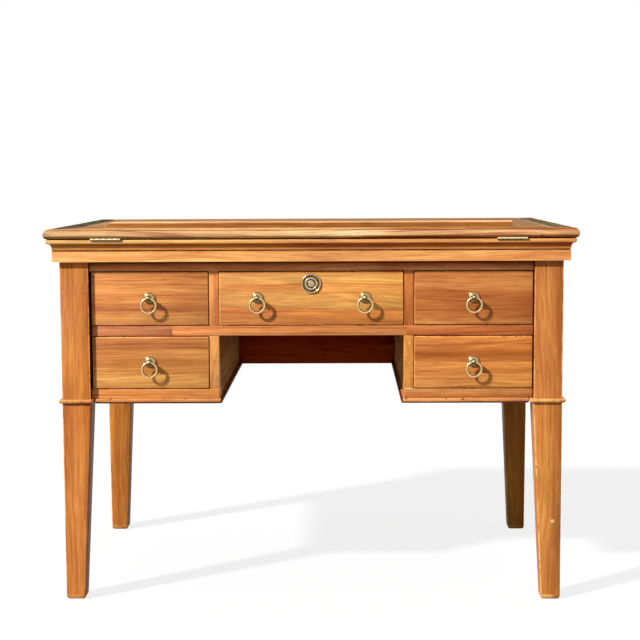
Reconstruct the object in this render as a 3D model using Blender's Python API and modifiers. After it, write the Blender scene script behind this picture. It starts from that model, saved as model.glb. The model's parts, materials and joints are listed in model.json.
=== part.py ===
"""Drafting desk: a front-hinged top on a ratchet easel, over five drawers and a kneehole.

Metres, +Z up, front towards -Y, origin on the floor at the middle of the footprint.
"""
import math

import bmesh
import bpy
from mathutils import Matrix, Vector

# Clearances
SEAT = 0.0003              # between pieces that are glued, screwed or rest on each other
REVEAL = 0.0015            # beside and below a drawer front in its opening
TOP_REVEAL = 0.002         # above a drawer front
DRAWER_PLAY = 0.0008       # between a drawer box and what guides it
RUNNING_FIT = 0.0003       # between a pin and its bore
WELD = 0.00001             # points this close are one
CUT_PAST = 0.010           # a cutter runs this far past an open side
FLAT = math.radians(0.05)  # faces that meet at less than this are one
WORKED_ANGLE = math.radians(40)  # edges sharper than this are eased
SHARP_ANGLE = math.radians(35)   # edges sharper than this are shaded as creases

# Overall
TOP_WIDTH = 1.100
TOP_DEPTH = 0.700
DESK_HEIGHT = 0.785
TOP_OVERHANG = 0.028       # of the top beyond the posts

# Top
RIM_THICKNESS = 0.0205
RIM_WIDTH = 0.055
RIM_NOSE_BELOW = 0.0115    # height of the widest line of the rim's edge below its upper face
RIM_NOSE_TOP_RUN = 0.010   # how far the upper rounding reaches in
RIM_NOSE_UNDER_RUN = 0.008
RIM_QUIRK = 0.0012         # groove along the inner side of the rounding
RIM_EASING = 0.0006        # chamfer along the drawing panel
PANEL_THICKNESS = 0.012
PANEL_LAP = 0.010          # of the rim's rabbet under the panel
LEDGE_SETBACK = 0.011      # of the book ledge behind the front rim
LEDGE_WIDTH = 0.018
LEDGE_HEIGHT = 0.013
LEDGE_FOOT = 0.002         # of the ledge's base strip behind the ledge
LEDGE_LEFT = 0.433         # ends of the ledge from the middle
LEDGE_RIGHT = 0.420
LEDGE_END_RUN = 0.026      # length of the rounding at its left end
LID_GAP = 0.0006           # joint between the rim and the cornice

# Cornice
CORNICE_HEIGHT = 0.0466
CORNICE_INSIDE = 0.022     # inner face, inside the posts' outer faces
FASCIA_PROJECTION = 0.0125
FASCIA_HEIGHT = 0.0228
QUIRK_HEIGHT = 0.0014      # groove between the fascia and the fillet
QUIRK_DEPTH = 0.0022
FILLET_PROJECTION = 0.013
FILLET_HEIGHT = 0.0042
BAND_HEIGHT = 0.0092
BAND_PROJECTION = 0.023
BAND_OVOLO_RUN = 0.003     # rounding of the band's lower edge
BAND_OVOLO_RISE = 0.0055
BAND_CROWN_RUN = 0.0015    # rounding of its upper edge
BAND_CROWN_DROP = 0.0025

# Legs
LEG_SIZE = 0.060
FOOT_SIZE = 0.040
LEG_ROUNDING = 0.0022
COLLAR_HEIGHT = 0.0085
COLLAR_PROJECTION = 0.007
COLLAR_ROUNDING = 0.0041

# Carcass
BED_THICKNESS = 0.0205
UPPER_OPENING = 0.1145
RAIL_HEIGHT = 0.021
RAIL_DEPTH = 0.045
LOWER_OPENING = 0.112
BOTTOM_RAIL_HEIGHT = 0.0195
BOTTOM_THICKNESS = 0.0105
BOTTOM_PROJECTION = 0.006
BOTTOM_ROUNDING = 0.0036
SIDE_INSET = 0.010         # of the side and back panels behind the posts' outer faces
SIDE_THICKNESS = 0.014
RAIL_SETBACK = 0.0125      # of the rails behind the posts' front faces
KNEE_HALF_WIDTH = 0.193
DIVIDER_THICKNESS = 0.020
STILE_DEPTH = 0.022        # front edge of a divider, left at its full thickness
STILE_PROUD = 0.0025       # of that edge beyond the kneehole wall behind it
BACK_DROP = 0.0075         # of the back panel below the pedestals' rails, in the kneehole
DUST_THICKNESS = 0.010
RUNNER_WIDTH = 0.018
GUIDE_HEIGHT = 0.020

# Drawers
FRONT_SETBACK = 0.010
FRONT_THICKNESS = 0.018
BOX_LENGTH = 0.520         # from the front's back face to the back of the box
BOX_WALL = 0.010
BOX_BOTTOM = 0.006
BOX_BOTTOM_RISE = 0.005    # the bottom sits in a groove above the sides' lower edge
BOX_TOP_DROP = 0.012       # sides below the top of the front
BOX_BACK_DROP = 0.010      # back below the sides
PULL_RISE = 0.0017         # pulls above the middle of a front
CENTRE_PULL_INSET = 0.081  # of the centre drawer's pulls from the ends of its opening

# Pulls
PLATE_RADIUS = 0.0124
PLATE_EDGE = 0.0014
PLATE_DOME = 0.0042
STEM_RADIUS = 0.004
EYE_RADIUS = 0.0065
EYE_STANDOFF = 0.016       # eye centre from the drawer front
EYE_BORE = 0.0033
RING_RADIUS = 0.0150
RING_WIRE = 0.0019
RING_FACETS = 28
WIRE_FACETS = 8

# Lock of the centre drawer
LOCK_DROP = 0.0245         # lock centre below the top of the front
LOCK_RADIUS = 0.0207
LOCK_RELIEF = 0.0032
LOCK_VALLEY_HEIGHT = 0.0014
LOCK_INNER_RING = 0.0135   # outer radius of the ring round the plug
LOCK_OUTER_RING = 0.0029   # width of the ring at the edge
LOCK_SLOPE = 0.0006        # run of a ring's flank
LOCK_FACETS = 28
BARREL_RADIUS = 0.0112
BARREL_WALL = 0.0018
BARREL_PROUD = 0.002       # barrel behind the drawer front
PLUG_DOME = 0.0012
PLUG_FACE = 0.0075         # radius of the plug's domed face
PLUG_GROOVE = 0.0014       # depth of the groove round that face
KEY_SLOT_LENGTH = 0.009
KEY_SLOT_WIDTH = 0.002
KEY_SLOT_DEPTH = 0.002
CAM_REACH = 0.033
CAM_WIDTH = 0.010
CAM_THICKNESS = 0.003
CAM_CLEARANCE = 0.0015

# Hinges of the top
HINGE_INSET = 0.105        # middle of a hinge from the posts' outer face
HINGE_SHIFT = -0.004       # both hinges sit this much to the left
HINGE_LENGTH = 0.062
HINGE_LEAF_WIDTH = 0.028
HINGE_LEAF = 0.0015
HINGE_AXIS_PROUD = 0.0012  # axis in front of the cornice band
KNUCKLE_RADIUS = 0.0032
KNUCKLE_COUNT = 5
PIN_RADIUS = 0.0014
PIN_INSET = 0.0015         # pin ends inside the end knuckles

# Easel and racks
TILT_MAX = math.radians(45)
LEVEL_TILT = math.radians(13.5)  # where the foot rod's path runs level
LOW_TILT = math.radians(20)      # the lowest notch
EASEL_BACK_ROOM = 0.11415  # from the folded foot rod to the back of the well
EASEL_HALF_SPREAD = 0.170
ARM_WIDTH = 0.018
ARM_DEPTH = 0.016
FOOT_ROD_RADIUS = 0.006
STRETCHER_SHARE = 0.30     # place of the stretcher along the arms
STRETCHER_RADIUS = 0.005
PIVOT_RADIUS = 0.004
CLEAT_THICKNESS = 0.020
CLEAT_LENGTH = 0.070
BATTEN_THICKNESS = 0.010   # of the batten between the cleat's lugs
BATTEN_GAP = 0.004         # between the batten and the easel's arms
RACK_INSET = 0.040         # of the racks' middle inside the arms' middle
RACK_WIDTH = 0.020
RACK_HEIGHT = 0.012
RACK_CLEARANCE = 0.0012    # between the foot rod's path and the tooth tips
TOOTH_PITCH = 0.019
TOOTH_COUNT = 7
TOOTH_DEPTH = 0.007
TOOTH_FLAT = 0.004

# Small roundings of worked edges
EDGE = 0.0012
FRONT_EDGE = 0.0018

# Facets of round pieces, and the drawn size of an axis
ROD_FACETS = 16
THIN_ROD_FACETS = 12
EYE_FACETS = 16
AXIS_SIZE = 0.03

# Levels, from the top down
RIM_UNDER = DESK_HEIGHT - RIM_THICKNESS
CORNICE_TOP = RIM_UNDER - LID_GAP
CORNICE_UNDER = CORNICE_TOP - CORNICE_HEIGHT
CARCASS_TOP = CORNICE_UNDER - SEAT
BED_UNDER = CARCASS_TOP - BED_THICKNESS
RAIL_TOP = BED_UNDER - UPPER_OPENING
RAIL_UNDER = RAIL_TOP - RAIL_HEIGHT
BOTTOM_RAIL_TOP = RAIL_UNDER - LOWER_OPENING
BOTTOM_RAIL_UNDER = BOTTOM_RAIL_TOP - BOTTOM_RAIL_HEIGHT
BOTTOM_TOP = BOTTOM_RAIL_UNDER - SEAT
BOTTOM_UNDER = BOTTOM_TOP - BOTTOM_THICKNESS
PANEL_UNDER = DESK_HEIGHT - PANEL_THICKNESS
HINGE_Z = CORNICE_TOP + LID_GAP / 2

# Places across and along
POST_X = TOP_WIDTH / 2 - TOP_OVERHANG
POST_Y = TOP_DEPTH / 2 - TOP_OVERHANG
POST_IN_X = POST_X - LEG_SIZE
POST_IN_Y = POST_Y - LEG_SIZE
SIDE_OUT_X = POST_X - SIDE_INSET
SIDE_IN_X = SIDE_OUT_X - SIDE_THICKNESS
BACK_OUT_Y = POST_Y - SIDE_INSET
BACK_IN_Y = BACK_OUT_Y - SIDE_THICKNESS
DIVIDER_OUT_X = KNEE_HALF_WIDTH + DIVIDER_THICKNESS
RAIL_FRONT_Y = -POST_Y + RAIL_SETBACK
RAIL_BACK_Y = RAIL_FRONT_Y + RAIL_DEPTH
FRONT_Y = -POST_Y + FRONT_SETBACK
FRONT_BACK_Y = FRONT_Y + FRONT_THICKNESS
WELL_BACK_Y = POST_Y - CORNICE_INSIDE
HINGE_X = POST_X - HINGE_INSET
HINGE_Y = -POST_Y - BAND_PROJECTION - HINGE_AXIS_PROUD
CENTRE_PULL_X = KNEE_HALF_WIDTH - CENTRE_PULL_INSET

# The easel folds back under the top and turns twice as fast as the top, the other way. With the
# strut a little longer than the pivot's distance, its foot keeps nearly one height over the bed.
FOOT_Z = CARCASS_TOP + SEAT + RACK_HEIGHT + RACK_CLEARANCE + FOOT_ROD_RADIUS
FOOT_Y = WELL_BACK_Y - EASEL_BACK_ROOM
FOOT_DROP = FOOT_Z - HINGE_Z
STRUT_EXCESS = -FOOT_DROP * math.tan(LEVEL_TILT)
EASEL_REACH = (FOOT_Y - HINGE_Y - STRUT_EXCESS) / 2
STRUT_LENGTH = EASEL_REACH + STRUT_EXCESS
PIVOT_Y = HINGE_Y + EASEL_REACH
RACK_X = EASEL_HALF_SPREAD - RACK_INSET
SIGHT_X = TOP_WIDTH / 2 - RIM_WIDTH
SIGHT_Y = TOP_DEPTH / 2 - RIM_WIDTH
LEDGE_FRONT_Y = -SIGHT_Y + LEDGE_SETBACK
LEDGE_BACK_Y = LEDGE_FRONT_Y + LEDGE_WIDTH
LEDGE_BASE_BACK_Y = LEDGE_BACK_Y + LEDGE_FOOT

# Mesh planes: local x, y and thickness to world axes
PLANE_XY = Matrix.Identity(4)
PLANE_YZ = Matrix(((0, 0, 1, 0), (1, 0, 0, 0), (0, 1, 0, 0), (0, 0, 0, 1)))
PLANE_XZ = Matrix(((1, 0, 0, 0), (0, 0, -1, 0), (0, 1, 0, 0), (0, 0, 0, 1)))

for stale in list(bpy.data.objects):
    bpy.data.objects.remove(stale, do_unlink=True)

PARTS = bpy.data.collections.new("drafting_desk")
CUTTERS = bpy.data.collections.new("drafting_desk_cutters")
for group in (PARTS, CUTTERS):
    bpy.context.scene.collection.children.link(group)


def finish(name, colour, roughness, metallic=0.0):
    """One Principled material."""
    made = bpy.data.materials.new(name)
    made.use_nodes = True
    shader = made.node_tree.nodes["Principled BSDF"]
    shader.inputs["Base Color"].default_value = (*colour, 1.0)
    shader.inputs["Roughness"].default_value = roughness
    shader.inputs["Metallic"].default_value = metallic
    return made


TEAK = finish("teak", (0.46, 0.19, 0.062), 0.42)
TEAK_LEG = finish("teak_leg", (0.43, 0.165, 0.05), 0.42)
DRAWER_WOOD = finish("drawer_wood", (0.52, 0.30, 0.14), 0.6)
BRASS = finish("aged_brass", (0.60, 0.47, 0.27), 0.35, 1.0)


def place(name, mesh, material):
    """An object for a mesh whose points are already in place."""
    made = bpy.data.objects.new(name, mesh)
    mesh.materials.clear()
    mesh.materials.append(material)
    PARTS.objects.link(made)
    return made


def box(name, x, y, z, material=TEAK, rounding=0.0):
    """A board between low and high values on each axis, its edges rounded if asked."""
    bm = bmesh.new()
    bmesh.ops.create_cube(bm, size=1.0)
    bmesh.ops.scale(bm, vec=(x[1] - x[0], y[1] - y[0], z[1] - z[0]), verts=bm.verts)
    middle = Vector((x[0] + x[1], y[0] + y[1], z[0] + z[1])) / 2
    bmesh.ops.translate(bm, vec=middle, verts=bm.verts)
    mesh = bpy.data.meshes.new(name)
    bm.to_mesh(mesh)
    bm.free()
    made = place(name, mesh, material)
    if rounding:
        round_edges(made, rounding)
    return made


def round_edges(made, width, segments=2):
    """Bevel every worked edge, leaving slight changes of slope alone."""
    bevel = made.modifiers.new("worked_edges", "BEVEL")
    bevel.width = width
    bevel.segments = segments
    bevel.limit_method = "ANGLE"
    bevel.angle_limit = WORKED_ANGLE


def rod(name, radius, x, y, z, facets=ROD_FACETS, material=BRASS):
    """A round rod along X between two values, its centre at y, z."""
    bm = bmesh.new()
    length = x[1] - x[0]
    bmesh.ops.create_cone(bm, cap_ends=True, segments=facets, radius1=radius, radius2=radius, depth=length)
    turn = Matrix.Translation(((x[0] + x[1]) / 2, y, z)) @ Matrix.Rotation(math.pi / 2, 4, "Y")
    bmesh.ops.transform(bm, matrix=turn, verts=bm.verts)
    mesh = bpy.data.meshes.new(name)
    bm.to_mesh(mesh)
    bm.free()
    return place(name, mesh, material)


def outline(name, loops, plane, span, material=TEAK):
    """A flat outline, with holes for further loops, as thick as its span along the plane's normal."""
    curve = bpy.data.curves.new(name, "CURVE")
    curve.dimensions = "2D"
    curve.fill_mode = "BOTH"
    curve.extrude = (span[1] - span[0]) / 2
    for loop in loops:
        spline = curve.splines.new("POLY")
        spline.points.add(len(loop) - 1)
        for point, (u, v) in zip(spline.points, loop):
            point.co = (u, v, 0.0, 1.0)
        spline.use_cyclic_u = True
    drawn = bpy.data.objects.new(name + "_drawing", curve)
    drawn.matrix_world = plane @ Matrix.Translation((0, 0, (span[0] + span[1]) / 2))
    PARTS.objects.link(drawn)
    bpy.context.view_layer.update()
    graph = bpy.context.evaluated_depsgraph_get()
    mesh = bpy.data.meshes.new_from_object(drawn.evaluated_get(graph))
    mesh.transform(drawn.matrix_world)
    bpy.data.objects.remove(drawn, do_unlink=True)
    bm = bmesh.new()
    bm.from_mesh(mesh)
    bmesh.ops.remove_doubles(bm, verts=bm.verts, dist=WELD)
    if len(loops) == 1:
        bmesh.ops.dissolve_limit(bm, angle_limit=FLAT, verts=bm.verts, edges=bm.edges)
    bm.to_mesh(mesh)
    bm.free()
    mesh.name = name
    return place(name, mesh, material)


def arc(centre, radii, start, end, count):
    """Points on an ellipse from one angle to another, in degrees, both ends included."""
    points = []
    for i in range(count + 1):
        angle = math.radians(start + (end - start) * i / count)
        points.append((centre[0] + radii[0] * math.cos(angle), centre[1] + radii[1] * math.sin(angle)))
    return points


def turned(name, profile, steps, placing, material=BRASS, closed=False):
    """A turned piece: a profile of (radius, height), outer side from top to bottom."""
    bm = bmesh.new()
    points = [bm.verts.new((r, 0.0, h)) for r, h in profile]
    for first, second in zip(points, points[1:]):
        bm.edges.new((first, second))
    if closed:
        bm.edges.new((points[-1], points[0]))
    mesh = bpy.data.meshes.new(name)
    bm.to_mesh(mesh)
    bm.free()
    made = place(name, mesh, material)
    made.matrix_world = placing
    screw = made.modifiers.new("lathe", "SCREW")
    screw.steps = steps
    screw.render_steps = steps
    screw.use_merge_vertices = True
    screw.merge_threshold = WELD
    return made


def boolean(made, tool, operation, solver="EXACT"):
    """Cut a piece with a tool shape, or join the shape to it."""
    for holder in list(tool.users_collection):
        holder.objects.unlink(tool)
    CUTTERS.objects.link(tool)
    tool.hide_render = True
    tool.display_type = "WIRE"
    step = made.modifiers.new(tool.name, "BOOLEAN")
    step.operation = operation
    step.solver = solver
    step.object = tool


def cut(made, tool, solver="EXACT"):
    boolean(made, tool, "DIFFERENCE", solver)


def join(made, tool):
    boolean(made, tool, "UNION")


def axis_empty(name, location, parent=None):
    """An empty on a joint's axis that carries the pieces of one moving body."""
    empty = bpy.data.objects.new(name, None)
    PARTS.objects.link(empty)
    empty.empty_display_size = AXIS_SIZE
    if parent:
        carry(parent, empty)
    empty.matrix_world = Matrix.Translation(location)
    bpy.context.view_layer.update()
    return empty


def carry(empty, *pieces):
    """Parent pieces to an empty without moving them."""
    for piece in pieces:
        piece.parent = empty
        piece.matrix_parent_inverse = empty.matrix_world.inverted()


def both(low, high, side):
    """A range on the right, or its mirror image on the left."""
    return (low, high) if side > 0 else (-high, -low)


SIDES = (("left", -1), ("right", 1))


# Legs
def leg(name, side, end):
    """One post from floor to cornice, tapered on its inner faces below the collar."""
    across, along = both(POST_IN_X, POST_X, side), both(POST_IN_Y, POST_Y, end)
    made = box(name, across, along, (0.0, CARCASS_TOP), TEAK_LEG)
    bm = bmesh.new()
    bm.from_mesh(made.data)
    collar_under = BOTTOM_TOP - COLLAR_HEIGHT
    everything = bm.verts[:] + bm.edges[:] + bm.faces[:]
    bmesh.ops.bisect_plane(bm, geom=everything, plane_co=(0, 0, collar_under), plane_no=(0, 0, 1))
    for vert in bm.verts:
        if vert.co.z < WELD:
            if abs(vert.co.x) < POST_X - LEG_SIZE / 2:
                vert.co.x = side * (POST_X - FOOT_SIZE)
            if abs(vert.co.y) < POST_Y - LEG_SIZE / 2:
                vert.co.y = end * (POST_Y - FOOT_SIZE)
    bm.to_mesh(made.data)
    bm.free()
    round_edges(made, LEG_ROUNDING)
    reach = COLLAR_PROJECTION
    collar = box(name + "_collar", both(POST_IN_X - reach, POST_X + reach, side),
                 both(POST_IN_Y - reach, POST_Y + reach, end), (collar_under, BOTTOM_TOP), TEAK_LEG)
    round_edges(collar, COLLAR_ROUNDING, 3)
    join(made, collar)


for side_name, side in SIDES:
    leg("leg_front_" + side_name, side, -1)
    leg("leg_back_" + side_name, side, 1)


# Carcass
def carcass_panels():
    """Side panels between the legs, the back panel and the bed board over the drawers."""
    low, high = BOTTOM_TOP + SEAT, CARCASS_TOP
    for name, side in SIDES:
        across = both(SIDE_IN_X, SIDE_OUT_X, side)
        box("side_panel_" + name, across, (-POST_IN_Y + SEAT, POST_IN_Y - SEAT), (low, high))
    inner_x, inner_y = POST_IN_X - SEAT, POST_IN_Y - SEAT
    knee = KNEE_HALF_WIDTH - BOTTOM_PROJECTION - SEAT
    back_half = [(inner_x, high), (inner_x, low), (knee, low), (knee, low - BACK_DROP)]
    back_shape = [(-x, z) for x, z in reversed(back_half)] + back_half
    outline("back_panel", [back_shape], PLANE_XZ, (-BACK_OUT_Y, -BACK_IN_Y))
    wide = SIDE_IN_X - SEAT
    back = BACK_IN_Y - SEAT
    right = [(inner_x, RAIL_FRONT_Y), (inner_x, -inner_y), (wide, -inner_y),
             (wide, inner_y), (inner_x, inner_y), (inner_x, back)]
    left = [(-x, y) for x, y in reversed(right)]
    bed = outline("bed_board", [right + left], PLANE_XY, (BED_UNDER, CARCASS_TOP))
    swing = math.hypot(CAM_REACH, CAM_WIDTH / 2) + CAM_CLEARANCE
    half = CAM_WIDTH / 2 + CAM_CLEARANCE
    mortise = box("lock_mortise", (-half, math.sqrt(swing ** 2 - (BED_UNDER - LOCK_Z) ** 2)),
                  (CAM_Y - CAM_CLEARANCE, CAM_Y + CAM_THICKNESS + CAM_CLEARANCE),
                  (BED_UNDER - CAM_CLEARANCE, LOCK_Z + swing))
    cut(bed, mortise, "MANIFOLD")


def rails():
    """The drawer rail across the front and one bottom rail under each pedestal."""
    depth = (RAIL_FRONT_Y, RAIL_BACK_Y)
    box("drawer_rail", (-POST_IN_X + SEAT, POST_IN_X - SEAT), depth, (RAIL_UNDER, RAIL_TOP), TEAK, EDGE)
    for name, side in SIDES:
        across = both(KNEE_HALF_WIDTH, POST_IN_X - SEAT, side)
        box("bottom_rail_" + name, across, depth, (BOTTOM_RAIL_UNDER, BOTTOM_RAIL_TOP), TEAK, EDGE)


def dividers():
    """Kneehole walls, notched at the front where the drawer rail and the bottom rail pass, and
    shaved in the kneehole behind their front edges."""
    low, high = BOTTOM_TOP + SEAT, BED_UNDER - SEAT
    foot = BOTTOM_RAIL_TOP + SEAT
    notch_back = RAIL_BACK_Y + SEAT
    shape = [(notch_back, low), (notch_back, foot), (RAIL_FRONT_Y, foot),
             (RAIL_FRONT_Y, RAIL_UNDER - SEAT), (notch_back, RAIL_UNDER - SEAT),
             (notch_back, RAIL_TOP + SEAT), (RAIL_FRONT_Y, RAIL_TOP + SEAT), (RAIL_FRONT_Y, high),
             (BACK_IN_Y - SEAT, high), (BACK_IN_Y - SEAT, low)]
    wall = (RAIL_FRONT_Y + STILE_DEPTH, BACK_IN_Y + CUT_PAST)
    for name, side in SIDES:
        divider = outline("divider_" + name, [shape], PLANE_YZ, both(KNEE_HALF_WIDTH, DIVIDER_OUT_X, side))
        shaved = both(KNEE_HALF_WIDTH - CUT_PAST, KNEE_HALF_WIDTH + STILE_PROUD, side)
        cut(divider, box("knee_wall_" + name, shaved, wall, (low - CUT_PAST, RAIL_UNDER)))


def dust_boards():
    """Boards that the upper drawers slide on; the outer ones carry a guide beside the drawer."""
    level = (RAIL_TOP - DUST_THICKNESS, RAIL_TOP)
    front, back = RAIL_BACK_Y + SEAT, BACK_IN_Y - SEAT
    knee = KNEE_HALF_WIDTH - SEAT
    box("dust_board_centre", (-knee, knee), (front, back), level)
    near, far = POST_IN_X - SEAT, SIDE_IN_X - SEAT
    inner_y = POST_IN_Y - SEAT
    for name, side in SIDES:
        shape = [(DIVIDER_OUT_X + SEAT, front), (near, front), (near, -inner_y), (far, -inner_y),
                 (far, inner_y), (near, inner_y), (near, back), (DIVIDER_OUT_X + SEAT, back)]
        mirrored = [(side * x, y) for x, y in shape]
        board = outline("dust_board_" + name, [mirrored], PLANE_XY, level)
        guide = box("guide_upper_" + name, both(POST_IN_X, far, side), (-inner_y, inner_y),
                    (RAIL_TOP - DUST_THICKNESS / 2, RAIL_TOP + GUIDE_HEIGHT))
        join(board, guide)


def pedestal_bottoms():
    """Bottom boards with a rounded lip, carrying the lower drawers' runners and guides."""
    lip = BOTTOM_PROJECTION
    clear = COLLAR_PROJECTION + SEAT
    inner_x, inner_y = POST_IN_X - clear, POST_IN_Y - clear
    front, back = RAIL_FRONT_Y - lip, BACK_OUT_Y + lip
    near, far = KNEE_HALF_WIDTH - lip, SIDE_OUT_X + lip
    sunk = BOTTOM_TOP - BOTTOM_THICKNESS / 2
    depth = (RAIL_BACK_Y + SEAT, BACK_IN_Y - SEAT)
    for name, side in SIDES:
        shape = [(near, front), (inner_x, front), (inner_x, -inner_y), (far, -inner_y),
                 (far, inner_y), (inner_x, inner_y), (inner_x, back), (near, back)]
        mirrored = [(side * x, y) for x, y in shape]
        board = outline("pedestal_bottom_" + name, [mirrored], PLANE_XY, (BOTTOM_UNDER, BOTTOM_TOP))
        round_edges(board, BOTTOM_ROUNDING)
        level = (sunk, BOTTOM_RAIL_TOP)
        inside = both(DIVIDER_OUT_X + SEAT, DIVIDER_OUT_X + RUNNER_WIDTH, side)
        join(board, box("runner_inner_" + name, inside, depth, level))
        outside = both(POST_IN_X - RUNNER_WIDTH, SIDE_IN_X - SEAT, side)
        join(board, box("runner_outer_" + name, outside, (-inner_y, inner_y), level))
        beside = both(POST_IN_X, SIDE_IN_X - SEAT, side)
        raised = (BOTTOM_RAIL_TOP - GUIDE_HEIGHT / 2, BOTTOM_RAIL_TOP + GUIDE_HEIGHT)
        join(board, box("guide_lower_" + name, beside, (-inner_y + SEAT, inner_y - SEAT), raised))


# Mouldings
def moulding(name, profile, face, half, turn):
    """A mitred moulding. The profile gives (projection beyond the face, height); it is drawn along
    the front, its ends are sheared to the mitres, and then it is turned about the desk's middle."""
    drawn = [(-face - out, height) for out, height in profile]
    made = outline(name, [drawn], PLANE_YZ, (-half, half))
    for vert in made.data.vertices:
        out = -vert.co.y - face
        vert.co.x = math.copysign(half + out - SEAT, vert.co.x)
    made.data.transform(Matrix.Rotation(turn, 4, "Z"))
    return made


FACES = (("front", 0.0), ("right", math.pi / 2), ("back", math.pi), ("left", -math.pi / 2))


def around(stem, profile, along_x, along_y):
    """The four mitred lengths of one moulding, by name."""
    made = {}
    for name, turn in FACES:
        facing_y = name in ("front", "back")
        face, half = (along_y, along_x) if facing_y else (along_x, along_y)
        made[name] = moulding(stem + name, profile, face, half, turn)
    return made


def cornice_profile():
    """Fascia, quirk, fillet, cove and band, closed by a plain inner face."""
    fascia_top = CORNICE_UNDER + FASCIA_HEIGHT
    fillet_foot = fascia_top + QUIRK_HEIGHT
    cove_foot = fillet_foot + FILLET_HEIGHT
    band_foot = CORNICE_TOP - BAND_HEIGHT
    cove_top_out = BAND_PROJECTION - BAND_OVOLO_RUN
    quirk_wall = FASCIA_PROJECTION - QUIRK_DEPTH
    hollow = (cove_top_out - FILLET_PROJECTION, band_foot - cove_foot)
    cove = arc((cove_top_out, cove_foot), hollow, 180, 90, 6)
    ovolo = (BAND_OVOLO_RUN, BAND_OVOLO_RISE)
    band = arc((cove_top_out, band_foot + BAND_OVOLO_RISE), ovolo, -90, 0, 4)
    crown_in = BAND_PROJECTION - BAND_CROWN_RUN
    rounding = (BAND_CROWN_RUN, BAND_CROWN_DROP)
    crown = arc((crown_in, CORNICE_TOP - BAND_CROWN_DROP), rounding, 0, 90, 2)
    edge = [(-CORNICE_INSIDE, CORNICE_UNDER), (FASCIA_PROJECTION, CORNICE_UNDER),
            (FASCIA_PROJECTION, fascia_top), (quirk_wall, fascia_top),
            (quirk_wall, fillet_foot), (FILLET_PROJECTION, fillet_foot)]
    return edge + cove + band[1:] + crown + [(-CORNICE_INSIDE, CORNICE_TOP)]


def rim_profile():
    """The top's rim: bull-nosed outside, with a quirk where the rounding meets the flat, and with a
    rabbet inside that the drawing panel lies in."""
    widest = DESK_HEIGHT - RIM_NOSE_BELOW
    under_rise = widest - RIM_UNDER
    nose = arc((-RIM_NOSE_UNDER_RUN, widest), (RIM_NOSE_UNDER_RUN, under_rise), -90, 0, 5)
    brow = arc((-RIM_NOSE_TOP_RUN, widest), (RIM_NOSE_TOP_RUN, RIM_NOSE_BELOW), 0, 90, 6)
    lip = -RIM_NOSE_TOP_RUN
    quirk = [(lip - RIM_QUIRK / 2, DESK_HEIGHT - RIM_QUIRK), (lip - RIM_QUIRK, DESK_HEIGHT)]
    inner = -RIM_WIDTH
    rabbet = PANEL_UNDER - SEAT
    sight = [(inner + RIM_EASING, DESK_HEIGHT), (inner, DESK_HEIGHT - RIM_EASING), (inner, rabbet),
             (inner - PANEL_LAP, rabbet), (inner - PANEL_LAP, RIM_UNDER)]
    return nose + brow[1:] + quirk + sight


def drawing_panel():
    """The panel lies flush in the rim, behind the base strip of the book ledge."""
    across = SIGHT_X - SEAT
    along = (LEDGE_BASE_BACK_Y + SEAT, SIGHT_Y - SEAT)
    return box("drawing_panel", (-across, across), along, (PANEL_UNDER, DESK_HEIGHT))


def book_ledge():
    """A stop for books and boards, worked on a strip as long as the panel and flush with it."""
    across = SIGHT_X - SEAT
    strip = (-SIGHT_Y + SEAT, LEDGE_BASE_BACK_Y)
    ledge = box("book_ledge", (-across, across), strip, (PANEL_UNDER, DESK_HEIGHT))
    sunk = DESK_HEIGHT - PANEL_THICKNESS / 2
    rounding = arc((-LEDGE_LEFT + LEDGE_END_RUN, DESK_HEIGHT), (LEDGE_END_RUN, LEDGE_HEIGHT), 180, 90, 6)
    shape = rounding + [(LEDGE_RIGHT, DESK_HEIGHT + LEDGE_HEIGHT), (LEDGE_RIGHT, sunk), (-LEDGE_LEFT, sunk)]
    stop = outline("ledge_stop", [shape], PLANE_XZ, (-LEDGE_BACK_Y, -LEDGE_FRONT_Y))
    round_edges(stop, EDGE)
    join(ledge, stop)
    return ledge


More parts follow.
